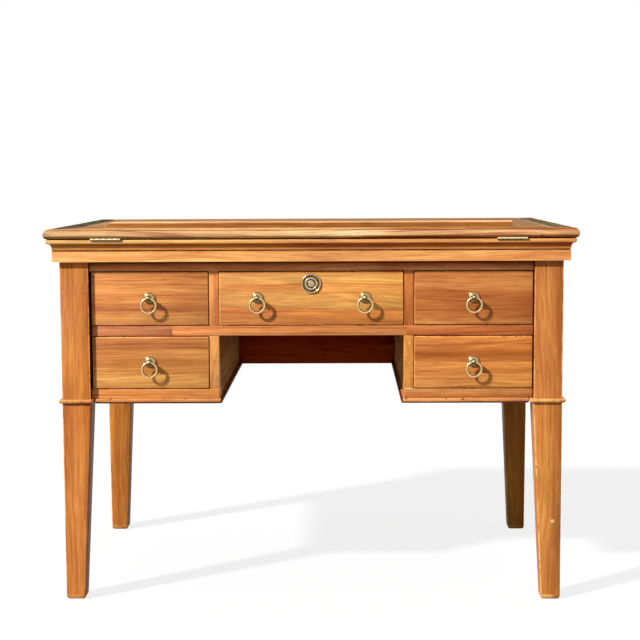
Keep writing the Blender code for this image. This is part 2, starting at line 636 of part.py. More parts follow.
# Hinges of the top
def hinge(name, side, rim, cornice):
    """A butt hinge let into the rim and the cornice: the lower leaf has the pin and every other
    knuckle, the upper leaf turns on the pin and is returned."""
    middle = side * HINGE_X + HINGE_SHIFT
    ends = (middle - HINGE_LENGTH / 2, middle + HINGE_LENGTH / 2)
    pitch = HINGE_LENGTH / KNUCKLE_COUNT
    clear = KNUCKLE_RADIUS + RUNNING_FIT
    leaf_depth = (HINGE_Y + clear, HINGE_Y + HINGE_LEAF_WIDTH)
    lower_level = (CORNICE_TOP - HINGE_LEAF, CORNICE_TOP)
    upper_level = (RIM_UNDER, RIM_UNDER + HINGE_LEAF)
    lower = box("hinge_lower_leaf_" + name, ends, leaf_depth, lower_level, BRASS)
    upper = box("hinge_upper_leaf_" + name, ends, leaf_depth, upper_level, BRASS)
    tang_reach = (HINGE_Y, HINGE_Y + clear + HINGE_LEAF)
    for i in range(KNUCKLE_COUNT):
        span = (ends[0] + i * pitch + RUNNING_FIT / 2, ends[0] + (i + 1) * pitch - RUNNING_FIT / 2)
        label = name + "_" + str(i)
        leaf, level = (upper, upper_level) if i % 2 else (lower, lower_level)
        join(leaf, box("hinge_tang_" + label, span, tang_reach, level, BRASS))
        join(leaf, rod("hinge_knuckle_" + label, KNUCKLE_RADIUS, span, HINGE_Y, HINGE_Z))
    pin_span = (ends[0] + PIN_INSET, ends[1] - PIN_INSET)
    join(lower, rod("hinge_pin_" + name, PIN_RADIUS, pin_span, HINGE_Y, HINGE_Z, THIN_ROD_FACETS))
    bore_span = (ends[0] - CUT_PAST, ends[1] + CUT_PAST)
    bore_radius = PIN_RADIUS + RUNNING_FIT
    cut(upper, rod("hinge_bore_" + name, bore_radius, bore_span, HINGE_Y, HINGE_Z, THIN_ROD_FACETS))
    room = (ends[0] - SEAT, ends[1] + SEAT)
    for board, level, word in ((rim, (CORNICE_TOP, RIM_UNDER + HINGE_LEAF + SEAT), "rim"),
                               (cornice, (CORNICE_TOP - HINGE_LEAF - SEAT, RIM_UNDER), "cornice")):
        bed = box(word + "_bed_" + name, room, (HINGE_Y, HINGE_Y + HINGE_LEAF_WIDTH + SEAT), level)
        cut(board, bed)
        cut(board, rod(word + "_scoop_" + name, clear + SEAT, room, HINGE_Y, HINGE_Z))
    return upper


# Easel
def foot_at(tilt):
    """Place (y, z) of the foot rod's centre when the top stands at a tilt."""
    y = (EASEL_REACH + STRUT_LENGTH) * math.cos(tilt) - FOOT_DROP * math.sin(tilt)
    z = (EASEL_REACH - STRUT_LENGTH) * math.sin(tilt) + FOOT_DROP * math.cos(tilt)
    return HINGE_Y + y, HINGE_Z + z


def easel():
    """Two arms, a stretcher, the foot rod and two pivot pins, glued up as one frame."""
    rounding = (ARM_DEPTH / 2, ARM_DEPTH / 2)
    arm = arc((PIVOT_Y, FOOT_Z), rounding, 90, 270, 8) + arc((FOOT_Y, FOOT_Z), rounding, -90, 90, 8)
    middle = EASEL_HALF_SPREAD
    reach = middle + ARM_WIDTH / 2
    left, right = [both(middle - ARM_WIDTH / 2, reach, side) for _, side in SIDES]
    frame = outline("easel_frame", [arm], PLANE_YZ, left)
    join(frame, outline("easel_arm", [arm], PLANE_YZ, right))
    between = (-middle, middle)
    join(frame, rod("easel_foot_rod", FOOT_ROD_RADIUS, between, FOOT_Y, FOOT_Z))
    stretcher_y = PIVOT_Y + STRETCHER_SHARE * STRUT_LENGTH
    join(frame, rod("easel_stretcher", STRETCHER_RADIUS, between, stretcher_y, FOOT_Z, THIN_ROD_FACETS))
    pin_end = reach + RUNNING_FIT + CLEAT_THICKNESS
    for name, side in SIDES:
        join(frame, rod("easel_pin_" + name, PIVOT_RADIUS, both(middle, pin_end, side), PIVOT_Y, FOOT_Z))
    return frame


def cleat():
    """Two lugs under the drawing panel that the easel's pins turn in, on one batten."""
    half = PIVOT_RADIUS + ARM_DEPTH / 2
    top = PANEL_UNDER - SEAT
    shape = [(PIVOT_Y + CLEAT_LENGTH / 2, top), (PIVOT_Y - CLEAT_LENGTH / 2, top)]
    shape += arc((PIVOT_Y, FOOT_Z), (half, ARM_DEPTH / 2), 180, 360, 10)
    bore_radius = PIVOT_RADIUS + RUNNING_FIT
    bore = arc((PIVOT_Y, FOOT_Z), (bore_radius, bore_radius), 0, 360, ROD_FACETS)[1:]
    start = EASEL_HALF_SPREAD + ARM_WIDTH / 2 + RUNNING_FIT
    reach = start + CLEAT_THICKNESS / 2
    depth = (PIVOT_Y - CLEAT_LENGTH / 2, PIVOT_Y - ARM_DEPTH / 2 - BATTEN_GAP)
    made = box("easel_cleat", (-reach, reach), depth, (top - BATTEN_THICKNESS, top))
    for name, side in SIDES:
        span = both(start, start + CLEAT_THICKNESS, side)
        join(made, outline("cleat_lug_" + name, [shape, bore], PLANE_YZ, span))
    return made


def racks():
    """Toothed strips on the bed board. The tips follow the foot rod's path; each tooth is upright
    on its front face, where the rod bears."""
    low_y, low_z = foot_at(LOW_TILT)
    high_y, high_z = foot_at(TILT_MAX)
    slope = (high_z - low_z) / (high_y - low_y)
    under = CARCASS_TOP + SEAT
    front = high_y - TOOTH_PITCH
    points = [(front, under)]
    for i in range(TOOTH_COUNT + 1):
        y = front + i * TOOTH_PITCH
        tip = low_z + slope * (y - low_y) - FOOT_ROD_RADIUS - RACK_CLEARANCE / 2
        if i:
            points.append((y, tip - TOOTH_DEPTH))
        points += [(y, tip), (y + TOOTH_FLAT, tip)]
    points.append((points[-1][0], under))
    for name, side in SIDES:
        span = both(RACK_X - RACK_WIDTH / 2, RACK_X + RACK_WIDTH / 2, side)
        outline("rack_" + name, [points], PLANE_YZ, span)


# Drawers
def drawer(name, x, z, pulls, carried):
    """A drawer in an opening: its front, its box and its pulls, all on one sliding empty."""
    slide = axis_empty("slide_" + name, ((x[0] + x[1]) / 2, FRONT_Y, (z[0] + z[1]) / 2))
    front = box("drawer_front_" + name, (x[0] + REVEAL, x[1] - REVEAL), (FRONT_Y, FRONT_BACK_Y),
                (z[0] + REVEAL, z[1] - TOP_REVEAL), TEAK, FRONT_EDGE)
    low = z[0] + DRAWER_PLAY
    high = z[1] - TOP_REVEAL - BOX_TOP_DROP
    start, end = FRONT_BACK_Y + SEAT, FRONT_BACK_Y + BOX_LENGTH
    sides = (x[0] + DRAWER_PLAY, x[1] - DRAWER_PLAY)
    body = box("drawer_box_" + name, sides, (start, end), (low, high), DRAWER_WOOD)
    inside = (sides[0] + BOX_WALL, sides[1] - BOX_WALL)
    floor = low + BOX_BOTTOM_RISE + BOX_BOTTOM
    over = high + CUT_PAST
    cut(body, box("hollow_" + name, inside, (start - CUT_PAST, end - BOX_WALL), (floor, over)))
    under = (low - CUT_PAST, low + BOX_BOTTOM_RISE)
    cut(body, box("groove_" + name, inside, (start - CUT_PAST, end + CUT_PAST), under))
    lowered = (end - BOX_WALL - CUT_PAST, end + CUT_PAST)
    cut(body, box("back_top_" + name, inside, lowered, (high - BOX_BACK_DROP, over)))
    carry(slide, front, body, *carried)
    height = (z[0] + z[1]) / 2 + PULL_RISE
    for label, pull_x in pulls:
        pull(label, pull_x, height, slide)
    return front, slide


# Turns: a lathe piece's axis from +Z to -Y, out of the drawer front, and a rod from +X to +Y
OUT_OF_FRONT = Matrix.Rotation(math.pi / 2, 4, "X")
ALONG_Y = Matrix.Rotation(math.pi / 2, 4, "Z")


def pull(name, x, z, slide):
    """A turned rosette with a bored eye, and the ring that hangs in it."""
    stem_top = EYE_STANDOFF - math.sqrt(EYE_RADIUS ** 2 - STEM_RADIUS ** 2)
    reach = math.degrees(math.atan2(stem_top - EYE_STANDOFF, STEM_RADIUS))
    eye = arc((0.0, EYE_STANDOFF), (EYE_RADIUS, EYE_RADIUS), 90, reach, 7)
    eye[0] = (0.0, EYE_STANDOFF + EYE_RADIUS)
    dome_top = PLATE_EDGE + PLATE_DOME
    dome = arc((STEM_RADIUS, PLATE_EDGE), (PLATE_RADIUS - STEM_RADIUS, PLATE_DOME), 90, 0, 4)
    profile = eye + [(STEM_RADIUS, dome_top)] + dome[1:] + [(PLATE_RADIUS, 0.0), (0.0, 0.0)]
    placing = Matrix.Translation((x, FRONT_Y - SEAT, z)) @ OUT_OF_FRONT
    rosette = turned("pull_rosette_" + name, profile, EYE_FACETS, placing)
    pivot_y = FRONT_Y - SEAT - EYE_STANDOFF
    across = (x - EYE_RADIUS - CUT_PAST, x + EYE_RADIUS + CUT_PAST)
    cut(rosette, rod("pull_bore_" + name, EYE_BORE, across, pivot_y, z, THIN_ROD_FACETS))
    carry(slide, rosette)
    bpy.ops.mesh.primitive_torus_add(major_radius=RING_RADIUS, minor_radius=RING_WIRE,
                                     major_segments=RING_FACETS, minor_segments=WIRE_FACETS)
    ring = bpy.context.object
    for holder in list(ring.users_collection):
        holder.objects.unlink(ring)
    PARTS.objects.link(ring)
    ring.name = "pull_ring_" + name
    ring.data.transform(Matrix.Translation((0, 0, -RING_RADIUS)) @ Matrix.Rotation(math.pi / 2, 4, "X"))
    ring.data.materials.append(BRASS)
    swing = axis_empty("swing_" + name, (x, pivot_y, z), slide)
    ring.matrix_world = Matrix.Translation((x, pivot_y, z))
    carry(swing, ring)


# Lock
LOCK_Z = BED_UNDER - TOP_REVEAL - LOCK_DROP
BARREL_BACK_Y = FRONT_BACK_Y + BARREL_PROUD
CAM_Y = BARREL_BACK_Y + SEAT


def lock():
    """The turned escutcheon with its barrel through the front, and the key plug with its cam."""
    placing = Matrix.Translation((0, FRONT_Y - SEAT, LOCK_Z)) @ OUT_OF_FRONT
    bore = BARREL_RADIUS - BARREL_WALL
    back = -(BARREL_BACK_Y - FRONT_Y + SEAT)
    low, high = LOCK_VALLEY_HEIGHT, LOCK_RELIEF
    rise = LOCK_RADIUS - LOCK_OUTER_RING
    profile = [(bore, high), (LOCK_INNER_RING - LOCK_SLOPE, high), (LOCK_INNER_RING, low), (rise, low),
               (rise + LOCK_SLOPE, high), (LOCK_RADIUS - LOCK_SLOPE, high), (LOCK_RADIUS, low),
               (LOCK_RADIUS, 0.0), (BARREL_RADIUS, 0.0), (BARREL_RADIUS, back), (bore, back)]
    escutcheon = turned("lock_escutcheon", profile, LOCK_FACETS, placing, closed=True)
    radius = bore - RUNNING_FIT
    shaft_back = back - SEAT - CAM_THICKNESS
    crown = arc((0.0, high), (PLUG_FACE, PLUG_DOME), 90, 0, 3)
    crown[0] = (0.0, high + PLUG_DOME)
    groove = high - PLUG_GROOVE
    shaft = [(PLUG_FACE, groove), (radius, groove), (radius, shaft_back), (0.0, shaft_back)]
    plug = turned("lock_plug", crown + shaft, LOCK_FACETS, placing)
    face_y = FRONT_Y - SEAT - high - PLUG_DOME
    half_width, half_length = KEY_SLOT_WIDTH / 2, KEY_SLOT_LENGTH / 2
    cut(plug, box("key_slot", (-half_width, half_width), (face_y - CUT_PAST, face_y + KEY_SLOT_DEPTH),
                  (LOCK_Z - half_length, LOCK_Z + half_length)))
    half = CAM_WIDTH / 2
    cam_depth = (CAM_Y, CAM_Y + CAM_THICKNESS)
    join(plug, box("lock_cam", (0.0, CAM_REACH), cam_depth, (LOCK_Z - half, LOCK_Z + half), BRASS))
    return escutcheon, plug


# Assembly
carcass_panels()
rails()
dividers()
dust_boards()
pedestal_bottoms()
cornice = around("cornice_", cornice_profile(), POST_X, POST_Y)
rim = around("top_rim_", rim_profile(), TOP_WIDTH / 2, TOP_DEPTH / 2)
racks()

lid_axis = axis_empty("lid_axis", (0, HINGE_Y, HINGE_Z))
carry(lid_axis, drawing_panel(), book_ledge(), *rim.values(), cleat())
for hinge_name, hinge_side in SIDES:
    carry(lid_axis, hinge(hinge_name, hinge_side, rim["front"], cornice["front"]))
easel_axis = axis_empty("easel_axis", (0, PIVOT_Y, FOOT_Z), lid_axis)
carry(easel_axis, easel())

escutcheon, plug = lock()
upper, lower = (RAIL_TOP, BED_UNDER), (BOTTOM_RAIL_TOP, RAIL_UNDER)
centre_pulls = [("centre_left", -CENTRE_PULL_X), ("centre_right", CENTRE_PULL_X)]
knee = (-KNEE_HALF_WIDTH, KNEE_HALF_WIDTH)
centre_front, centre_slide = drawer("centre", knee, upper, centre_pulls, [escutcheon])
hole_span = (-CUT_PAST, FRONT_THICKNESS + CUT_PAST)
barrel_hole = rod("lock_hole", BARREL_RADIUS + SEAT, hole_span, 0.0, 0.0, LOCK_FACETS)
barrel_hole.matrix_world = Matrix.Translation((0, FRONT_Y, LOCK_Z)) @ ALONG_Y
cut(centre_front, barrel_hole)
plug_axis = axis_empty("plug_axis", (0, FRONT_Y, LOCK_Z), centre_slide)
carry(plug_axis, plug)
for side_name, side in SIDES:
    opening = both(DIVIDER_OUT_X, POST_IN_X, side)
    pull_x = side * (DIVIDER_OUT_X + POST_IN_X) / 2
    drawer("upper_" + side_name, opening, upper, [("upper_" + side_name, pull_x)], [])
    drawer("lower_" + side_name, opening, lower, [("lower_" + side_name, pull_x)], [])

for part in PARTS.objects:
    if part.type == "MESH":
        part.data.shade_smooth()
        part.data.set_sharp_from_angle(angle=SHARP_ANGLE)
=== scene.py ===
"""Looks of the drafting desk: oiled hardwood with worn arrises, old brass, plain light from the left."""
import json
import math

import bmesh
import bpy
from mathutils import Matrix, Vector


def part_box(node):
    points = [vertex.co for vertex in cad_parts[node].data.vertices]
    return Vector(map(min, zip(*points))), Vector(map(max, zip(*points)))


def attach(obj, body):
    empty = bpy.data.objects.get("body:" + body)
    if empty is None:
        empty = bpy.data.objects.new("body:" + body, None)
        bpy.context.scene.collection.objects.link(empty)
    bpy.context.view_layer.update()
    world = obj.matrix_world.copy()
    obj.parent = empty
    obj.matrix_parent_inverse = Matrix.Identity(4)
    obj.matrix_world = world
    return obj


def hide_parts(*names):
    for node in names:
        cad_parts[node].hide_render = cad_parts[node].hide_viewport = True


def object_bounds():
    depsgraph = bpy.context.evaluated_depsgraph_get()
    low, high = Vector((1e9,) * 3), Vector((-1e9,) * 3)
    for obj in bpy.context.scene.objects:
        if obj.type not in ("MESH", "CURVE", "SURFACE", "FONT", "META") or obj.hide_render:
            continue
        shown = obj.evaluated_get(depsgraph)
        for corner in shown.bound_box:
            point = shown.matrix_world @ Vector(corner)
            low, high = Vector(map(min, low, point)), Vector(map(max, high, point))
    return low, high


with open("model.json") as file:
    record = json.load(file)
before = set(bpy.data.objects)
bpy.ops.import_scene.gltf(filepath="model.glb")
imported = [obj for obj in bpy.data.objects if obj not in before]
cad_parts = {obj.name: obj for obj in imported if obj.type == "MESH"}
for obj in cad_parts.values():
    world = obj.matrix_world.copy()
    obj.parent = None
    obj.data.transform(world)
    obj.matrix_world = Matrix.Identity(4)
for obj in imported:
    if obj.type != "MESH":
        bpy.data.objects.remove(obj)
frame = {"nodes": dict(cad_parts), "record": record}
cad_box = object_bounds()
NODES = frame["nodes"]
BODY_OF = {node: body for body, members in frame["record"]["behaviour"]["bodies"].items()
           for node in members}
SIDES = ("left", "right")
DRAWERS = ("centre", "upper_left", "upper_right", "lower_left", "lower_right")
PULLS = ("centre_left", "centre_right") + DRAWERS[1:]

WELD = 0.00002  # points this close are one
FLAT = math.radians(0.3)  # faces that meet at less than this are one
WORKED_ANGLE = math.radians(40)  # edges sharper than this are eased
SHARP_ANGLE = math.radians(32)  # edges sharper than this are shaded as creases
ARRIS = 0.0007  # usual easing of a planed edge
BOARD_JOINT = 0.0003  # easing where two boards are glued edge to edge
MOULDED_EDGE = 0.0004  # easing of a moulding's edges
EASING_STEPS = 2
SLOPING = 0.985  # a face whose normal lies further from every axis than this slopes
UP = Vector((0, 0, 1))


# Shader building blocks
def feed(tree, node, inputs):
    """Set a node's inputs to values, or link them to sockets."""
    for key, value in inputs.items():
        if isinstance(value, bpy.types.NodeSocket):
            tree.links.new(value, node.inputs[key])
        else:
            node.inputs[key].default_value = value


def add(tree, kind, inputs=None, **settings):
    """A new node with its settings and inputs."""
    made = tree.nodes.new(kind)
    for key, value in settings.items():
        setattr(made, key, value)
    feed(tree, made, inputs or {})
    return made


def use(tree, group, inputs):
    """A shader group placed in a tree: its outputs."""
    return add(tree, "ShaderNodeGroup", inputs, node_tree=group).outputs


def marked(tree, layer):
    """How far a piece's own layer marks its faces or points."""
    return add(tree, "ShaderNodeAttribute", attribute_name=layer).outputs["Fac"]


def sums(tree, operation, first, second=0.0, third=0.0):
    """One Math node's result."""
    return add(tree, "ShaderNodeMath", {0: first, 1: second, 2: third}, operation=operation).outputs[0]


def product(tree, first, second):
    """Two values multiplied."""
    return sums(tree, "MULTIPLY", first, second)


def stretch(tree, value, low, high, out_low=0.0, out_high=1.0, kind="SMOOTHSTEP"):
    """A value carried from one range to another, with its ends held."""
    inputs = {"Value": value, "From Min": low, "From Max": high, "To Min": out_low, "To Max": out_high}
    return add(tree, "ShaderNodeMapRange", inputs, interpolation_type=kind).outputs["Result"]


def blended(tree, share, first, second, blend_type="MIX"):
    """Two colours mixed."""
    inputs = {0: share, 6: first, 7: second}
    return add(tree, "ShaderNodeMix", inputs, data_type="RGBA", blend_type=blend_type).outputs[2]


def cloud(tree, place, detail, roughness=0.55, distortion=0.0):
    """Soft noise at a place."""
    inputs = {"Vector": place, "Scale": 1.0, "Detail": detail, "Roughness": roughness,
              "Distortion": distortion}
    return add(tree, "ShaderNodeTexNoise", inputs).outputs[0]


def spread(tree, place, scale):
    """A place with its axes scaled."""
    return add(tree, "ShaderNodeVectorMath", {0: place, 1: scale}, operation="MULTIPLY").outputs[0]


SOCKETS = dict.fromkeys(("Colour", "Pale", "Mid", "Dark", "Rubbed", "Bright", "Brown"), "NodeSocketColor")
SOCKETS["Vector"] = "NodeSocketVector"


def new_group(name, inputs, outputs):
    """An empty shader group with named sockets: (tree, input sockets, output node)."""
    tree = bpy.data.node_groups.new(name, "ShaderNodeTree")
    for in_out, labels in (("INPUT", inputs), ("OUTPUT", outputs)):
        for label in labels:
            kind = SOCKETS.get(label, "NodeSocketFloat")
            tree.interface.new_socket(name=label, in_out=in_out, socket_type=kind)
    entry = tree.nodes.new("NodeGroupInput")
    leave = tree.nodes.new("NodeGroupOutput")
    return tree, entry.outputs, leave


def timber_grain():
    """Wood sawn from a log whose pith runs along local X: broad bands, streaks, fibres and pores, all
    following the distance from the pith, which wanders and curls."""
    tree, given, leave = new_group(
        "timber_grain", ("Vector", "Pale", "Mid", "Dark", "Bands", "Streaks", "Curl"),
        ("Colour", "Gloss", "Height"))
    place = given["Vector"]
    axes = add(tree, "ShaderNodeSeparateXYZ", {0: place}).outputs
    wander = sums(tree, "SUBTRACT", cloud(tree, spread(tree, place, (2.0, 5.0, 5.0)), 1.0), 0.5)
    curl = sums(tree, "SUBTRACT", cloud(tree, spread(tree, place, (9.0, 26.0, 26.0)), 2.0), 0.5)
    curl = product(tree, curl, given["Curl"])
    across = add(tree, "ShaderNodeCombineXYZ", {1: axes[1], 2: axes[2]}).outputs[0]
    radius = add(tree, "ShaderNodeVectorMath", {0: across}, operation="LENGTH").outputs["Value"]
    radius = sums(tree, "MULTIPLY_ADD", wander, 0.045, radius)
    radius = sums(tree, "MULTIPLY_ADD", curl, 0.016, radius)

    def along(stretch_x, stretch_r, offset, detail, roughness=0.55):
        """Noise drawn out along the grain."""
        drawn = add(tree, "ShaderNodeCombineXYZ", {0: product(tree, axes[0], stretch_x),
                                                   1: product(tree, radius, stretch_r), 2: offset})
        return cloud(tree, drawn.outputs[0], detail, roughness)

    bands = along(0.8, 48.0, 0.2, 3.0)
    streaks = along(2.0, 175.0, 3.1, 4.0, 0.66)
    lines = along(1.6, 430.0, 7.7, 3.0)
    fibres = along(9.0, 560.0, 0.4, 3.0, 0.7)
    flecks = along(17.0, 240.0, 9.3, 2.0)
    patches = cloud(tree, spread(tree, place, (5.0, 26.0, 26.0)), 3.0)
    pores = stretch(tree, cloud(tree, spread(tree, place, (60.0, 1300.0, 1300.0)), 1.0), 0.62, 0.76)
    pale_share = product(tree, stretch(tree, bands, 0.36, 0.62), given["Bands"])
    colour = blended(tree, pale_share, given["Mid"], given["Pale"])
    clusters = stretch(tree, along(0.7, 26.0, 5.5, 2.0), 0.38, 0.64, 0.22, 1.35)
    strength = product(tree, clusters, given["Streaks"])
    dark_share = product(tree, stretch(tree, streaks, 0.46, 0.72), strength)
    line_share = product(tree, stretch(tree, lines, 0.55, 0.74, 0.0, 0.7), strength)
    dark_share = add(tree, "ShaderNodeClamp", {0: sums(tree, "MAXIMUM", dark_share, line_share)}).outputs[0]
    colour = blended(tree, dark_share, colour, given["Dark"])
    shade = product(tree, stretch(tree, fibres, 0.30, 0.70, 1.17, 0.82),
                    stretch(tree, patches, 0.30, 0.70, 0.81, 1.15))
    shade = product(tree, shade, stretch(tree, flecks, 0.34, 0.66, 1.12, 0.85))
    redder = sums(tree, "MULTIPLY_ADD", shade, 0.7, 0.3)
    warm = add(tree, "ShaderNodeCombineColor", {0: redder, 1: shade, 2: shade}).outputs[0]
    colour = blended(tree, 1.0, colour, warm, "MULTIPLY")
    deep = blended(tree, 1.0, given["Dark"], (0.50, 0.45, 0.42, 1.0), "MULTIPLY")
    colour = blended(tree, product(tree, pores, 0.34), colour, deep)
    gloss = sums(tree, "MULTIPLY_ADD", pores, 0.5, product(tree, streaks, 0.8))
    height = sums(tree, "SUBTRACT", product(tree, fibres, 0.5), product(tree, pores, 0.7))
    feed(tree, leave, {"Colour": colour, "Gloss": gloss, "Height": height})
    return tree


PAINTED_SHADE_DEPTH = (0.9, 1.35, 2.1)  # how strongly the painted shade takes away red, green and blue


def arris_wear():
    """Edges rubbed pale in patches, the dark knocks that old edges have, and painted shade in hollows, joints
    and under parts.
    """
    tree, given, leave = new_group(
        "arris_wear", ("Colour", "Vector", "Worn", "Rubbed", "Amount", "Grime"), ("Colour",))
    patches = cloud(tree, spread(tree, given["Vector"], (30.0, 30.0, 30.0)), 3.0, 0.65)
    rubbed = product(tree, stretch(tree, patches, 0.34, 0.60), given["Worn"])
    rubbed = product(tree, rubbed, given["Amount"])
    colour = blended(tree, rubbed, given["Colour"], given["Rubbed"])
    knocks = cloud(tree, spread(tree, given["Vector"], (75.0, 75.0, 75.0)), 1.0)
    knocked = product(tree, stretch(tree, knocks, 0.67, 0.75), given["Worn"])
    colour = blended(tree, product(tree, knocked, 0.7), colour, (0.05, 0.02, 0.008, 1.0))
    shaded_share = product(tree, given["Grime"], stretch(tree, patches, 0.35, 0.65, 1.0, 0.92))
    clear = sums(tree, "SUBTRACT", 1.0, shaded_share)
    shade_by_channel = {index: sums(tree, "POWER", clear, depth) for index, depth in enumerate(PAINTED_SHADE_DEPTH)}
    colour = blended(tree, 1.0, colour, add(tree, "ShaderNodeCombineColor", shade_by_channel).outputs[0], "MULTIPLY")
    feed(tree, leave, {"Colour": colour})
    return tree


def age_marks():
    """Scattered dents and small stains on flat faces."""
    tree, given, leave = new_group("age_marks", ("Colour", "Vector", "Amount"), ("Colour", "Height"))
    cells = add(tree, "ShaderNodeTexVoronoi", {"Vector": given["Vector"], "Scale": 17.0, "Randomness": 1.0})
    chosen = add(tree, "ShaderNodeSeparateColor", {0: cells.outputs["Color"]}).outputs[0]
    chosen = stretch(tree, chosen, 0.66, 0.80)
    dent = product(tree, stretch(tree, cells.outputs["Distance"], 0.065, 0.02), chosen)
    dent = product(tree, dent, given["Amount"])
    stain = cloud(tree, spread(tree, given["Vector"], (6.0, 14.0, 14.0)), 4.0, 0.7)
    stain = product(tree, stretch(tree, stain, 0.54, 0.74), given["Amount"])
    colour = blended(tree, product(tree, stain, 0.42), given["Colour"], (0.15, 0.052, 0.018, 1.0))
    colour = blended(tree, product(tree, dent, 0.75), colour, (0.07, 0.025, 0.010, 1.0))
    feed(tree, leave, {"Colour": colour, "Height": product(tree, dent, -1.0)})
    return tree


def brass_patina():
    """Old brass: bright where hands rub it, brown with patina in its hollows and with painted shade on its
    lower and inner sides, mottled in between.
    """
    tree, given, leave = new_group(
        "brass_patina", ("Vector", "Hollow", "Bright", "Brown", "Mottle"), ("Colour", "Gloss"))
    mottle = cloud(tree, spread(tree, given["Vector"], (190.0, 190.0, 190.0)), 3.0, 0.6)
    specks = cloud(tree, spread(tree, given["Vector"], (1100.0, 1100.0, 1100.0)), 2.0)
    spots = sums(tree, "ADD", stretch(tree, mottle, 0.42, 0.72, 0.0, 0.60),
                 stretch(tree, specks, 0.56, 0.74, 0.0, 0.30))
    tarnish_and_shade = sums(tree, "MULTIPLY_ADD", spots, given["Mottle"], given["Hollow"])
    tarnish_and_shade = add(tree, "ShaderNodeClamp", {0: tarnish_and_shade}).outputs[0]
    colour = blended(tree, tarnish_and_shade, given["Bright"], given["Brown"])
    feed(tree, leave, {"Colour": colour, "Gloss": stretch(tree, tarnish_and_shade, 0.0, 1.0, 0.24, 0.58)})
    return tree


GRAIN = timber_grain()
WEAR_AND_SHADE = arris_wear()
MARKS = age_marks()
PATINA_AND_SHADE = brass_patina()


# Finishes
def blank_material(name):
    """A material with its tree, its Principled shader and the object's own coordinates."""
    made = bpy.data.materials.new(name)
    made.use_nodes = True
    tree = made.node_tree
    place = add(tree, "ShaderNodeTexCoord").outputs["Object"]
    return made, tree, tree.nodes["Principled BSDF"], place


TURNS = {"x": (0.0, 0.0, 0.0), "y": (0.0, 0.0, -math.pi / 2), "z": (0.0, math.pi / 2, 0.0)}


def times(tone, factors):
    """A tone with each of its channels scaled."""
    return tuple(min(value * factor, 1.0) for value, factor in zip(tone, factors)) + (1.0,)


def lighter(tone, factor):
    """A tone lightened, or darkened by a factor below 1."""
    return times(tone, (factor,) * 3)[:3]


PALE = (1.26, 1.50, 1.70)  # sapwood against the usual tone
DARK = (0.58, 0.41, 0.40)  # streaks against it
RUBBED = (1.30, 1.70, 2.30)  # bare worn wood against it
PLAIN = (1.0, 1.0, 1.0)  # a tint that changes nothing


def banded(tree, colour, place, axis, low, high, sway, stops):
    """A colour tinted in bands across a board: a stop gives a share of the way along an axis and a tint,
    at most 1. The bands' borders sway by a share of the whole."""
    axes = add(tree, "ShaderNodeSeparateXYZ", {0: place}).outputs
    waver = sums(tree, "SUBTRACT", cloud(tree, spread(tree, place, (7.0, 7.0, 30.0)), 3.0), 0.5)
    level = sums(tree, "MULTIPLY_ADD", waver, sway * (high - low), axes[axis])
    ramp = add(tree, "ShaderNodeValToRGB", {0: stretch(tree, level, low, high, kind="LINEAR")})
    elements = ramp.color_ramp.elements
    while len(elements) < len(stops):
        elements.new(0.5)
    for element, (share, tint) in zip(elements, stops):
        element.position = share
        element.color = (*tint, 1.0)
    return blended(tree, 1.0, colour, ramp.outputs["Color"], "MULTIPLY")


def wood(name, tone, grain, centre, pith, seed, bands=0.7, streaks=0.75, curl=0.25, marks=0.4, wear=0.55,
         rough=(0.42, 0.58), shine=0.10, tints=(), rubbed=RUBBED):
    """An oiled hardwood. The grain runs along one axis; the pith lies off the board's centre by an
    amount in each of the two directions across the grain."""
    made, tree, shader, place = blank_material(name)
    turn = Matrix.Rotation(TURNS[grain][2], 3, "Z") @ Matrix.Rotation(TURNS[grain][1], 3, "Y")
    middle = turn @ Vector(centre)
    shift = (seed * 1.37, pith[0] - middle.y, pith[1] - middle.z)
    board = add(tree, "ShaderNodeMapping", {"Vector": place, "Location": shift, "Rotation": TURNS[grain]})
    board = board.outputs[0]
    figure = use(tree, GRAIN, {"Vector": board, "Pale": times(tone, PALE), "Mid": (*tone, 1.0),
                               "Dark": times(tone, DARK), "Bands": bands, "Streaks": streaks, "Curl": curl})
    colour = figure["Colour"]
    for tint in tints:
        colour = banded(tree, colour, place, *tint)
    aged = use(tree, MARKS, {"Colour": colour, "Vector": board, "Amount": marks})
    edged = use(tree, WEAR_AND_SHADE, {"Colour": aged["Colour"], "Vector": place, "Worn": marked(tree, "worn"),
                             "Grime": marked(tree, "grime"), "Rubbed": times(tone, rubbed), "Amount": wear})
    height = sums(tree, "MULTIPLY_ADD", aged["Height"], 3.0, figure["Height"])
    relief = add(tree, "ShaderNodeBump", {"Height": height, "Strength": 0.14, "Distance": 0.0006})
    feed(tree, shader, {"Base Color": edged["Colour"], "Normal": relief.outputs["Normal"],
                        "Roughness": stretch(tree, figure["Gloss"], 0.2, 0.7, *rough),
                        "Specular IOR Level": shine})
    return made


def brass(name, bright, brown, mottle):
    """A brass fitting's finish."""
    made, tree, shader, place = blank_material(name)
    patina = use(tree, PATINA_AND_SHADE, {"Vector": place, "Hollow": marked(tree, "hollow"), "Bright": (*bright, 1.0),
                                "Brown": (*brown, 1.0), "Mottle": mottle})
    feed(tree, shader, {"Base Color": patina["Colour"], "Roughness": patina["Gloss"], "Metallic": 1.0})
    return made


# Pieces of wood
def linked(name, data):
    """A new object in the scene."""
    made = bpy.data.objects.new(name, data)
    bpy.context.scene.collection.objects.link(made)
    return made


def mesh_of(name, bm):
    """A mesh from a bmesh, which is used up."""
    mesh = bpy.data.meshes.new(name)
    bm.to_mesh(mesh)
    bm.free()
    return mesh


def finished(name, bm, material, node, replaced=True):
    """A piece from a bmesh: smooth shading with creases, riding its node's body; its node is hidden when it
    replaces it.
    """
    mesh = mesh_of(name, bm)
    mesh.materials.append(material)
    mesh.shade_smooth()
    mesh.set_sharp_from_angle(angle=SHARP_ANGLE)
    piece = linked(name, mesh)
    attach(piece, BODY_OF[node])
    if replaced:
        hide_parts(node)


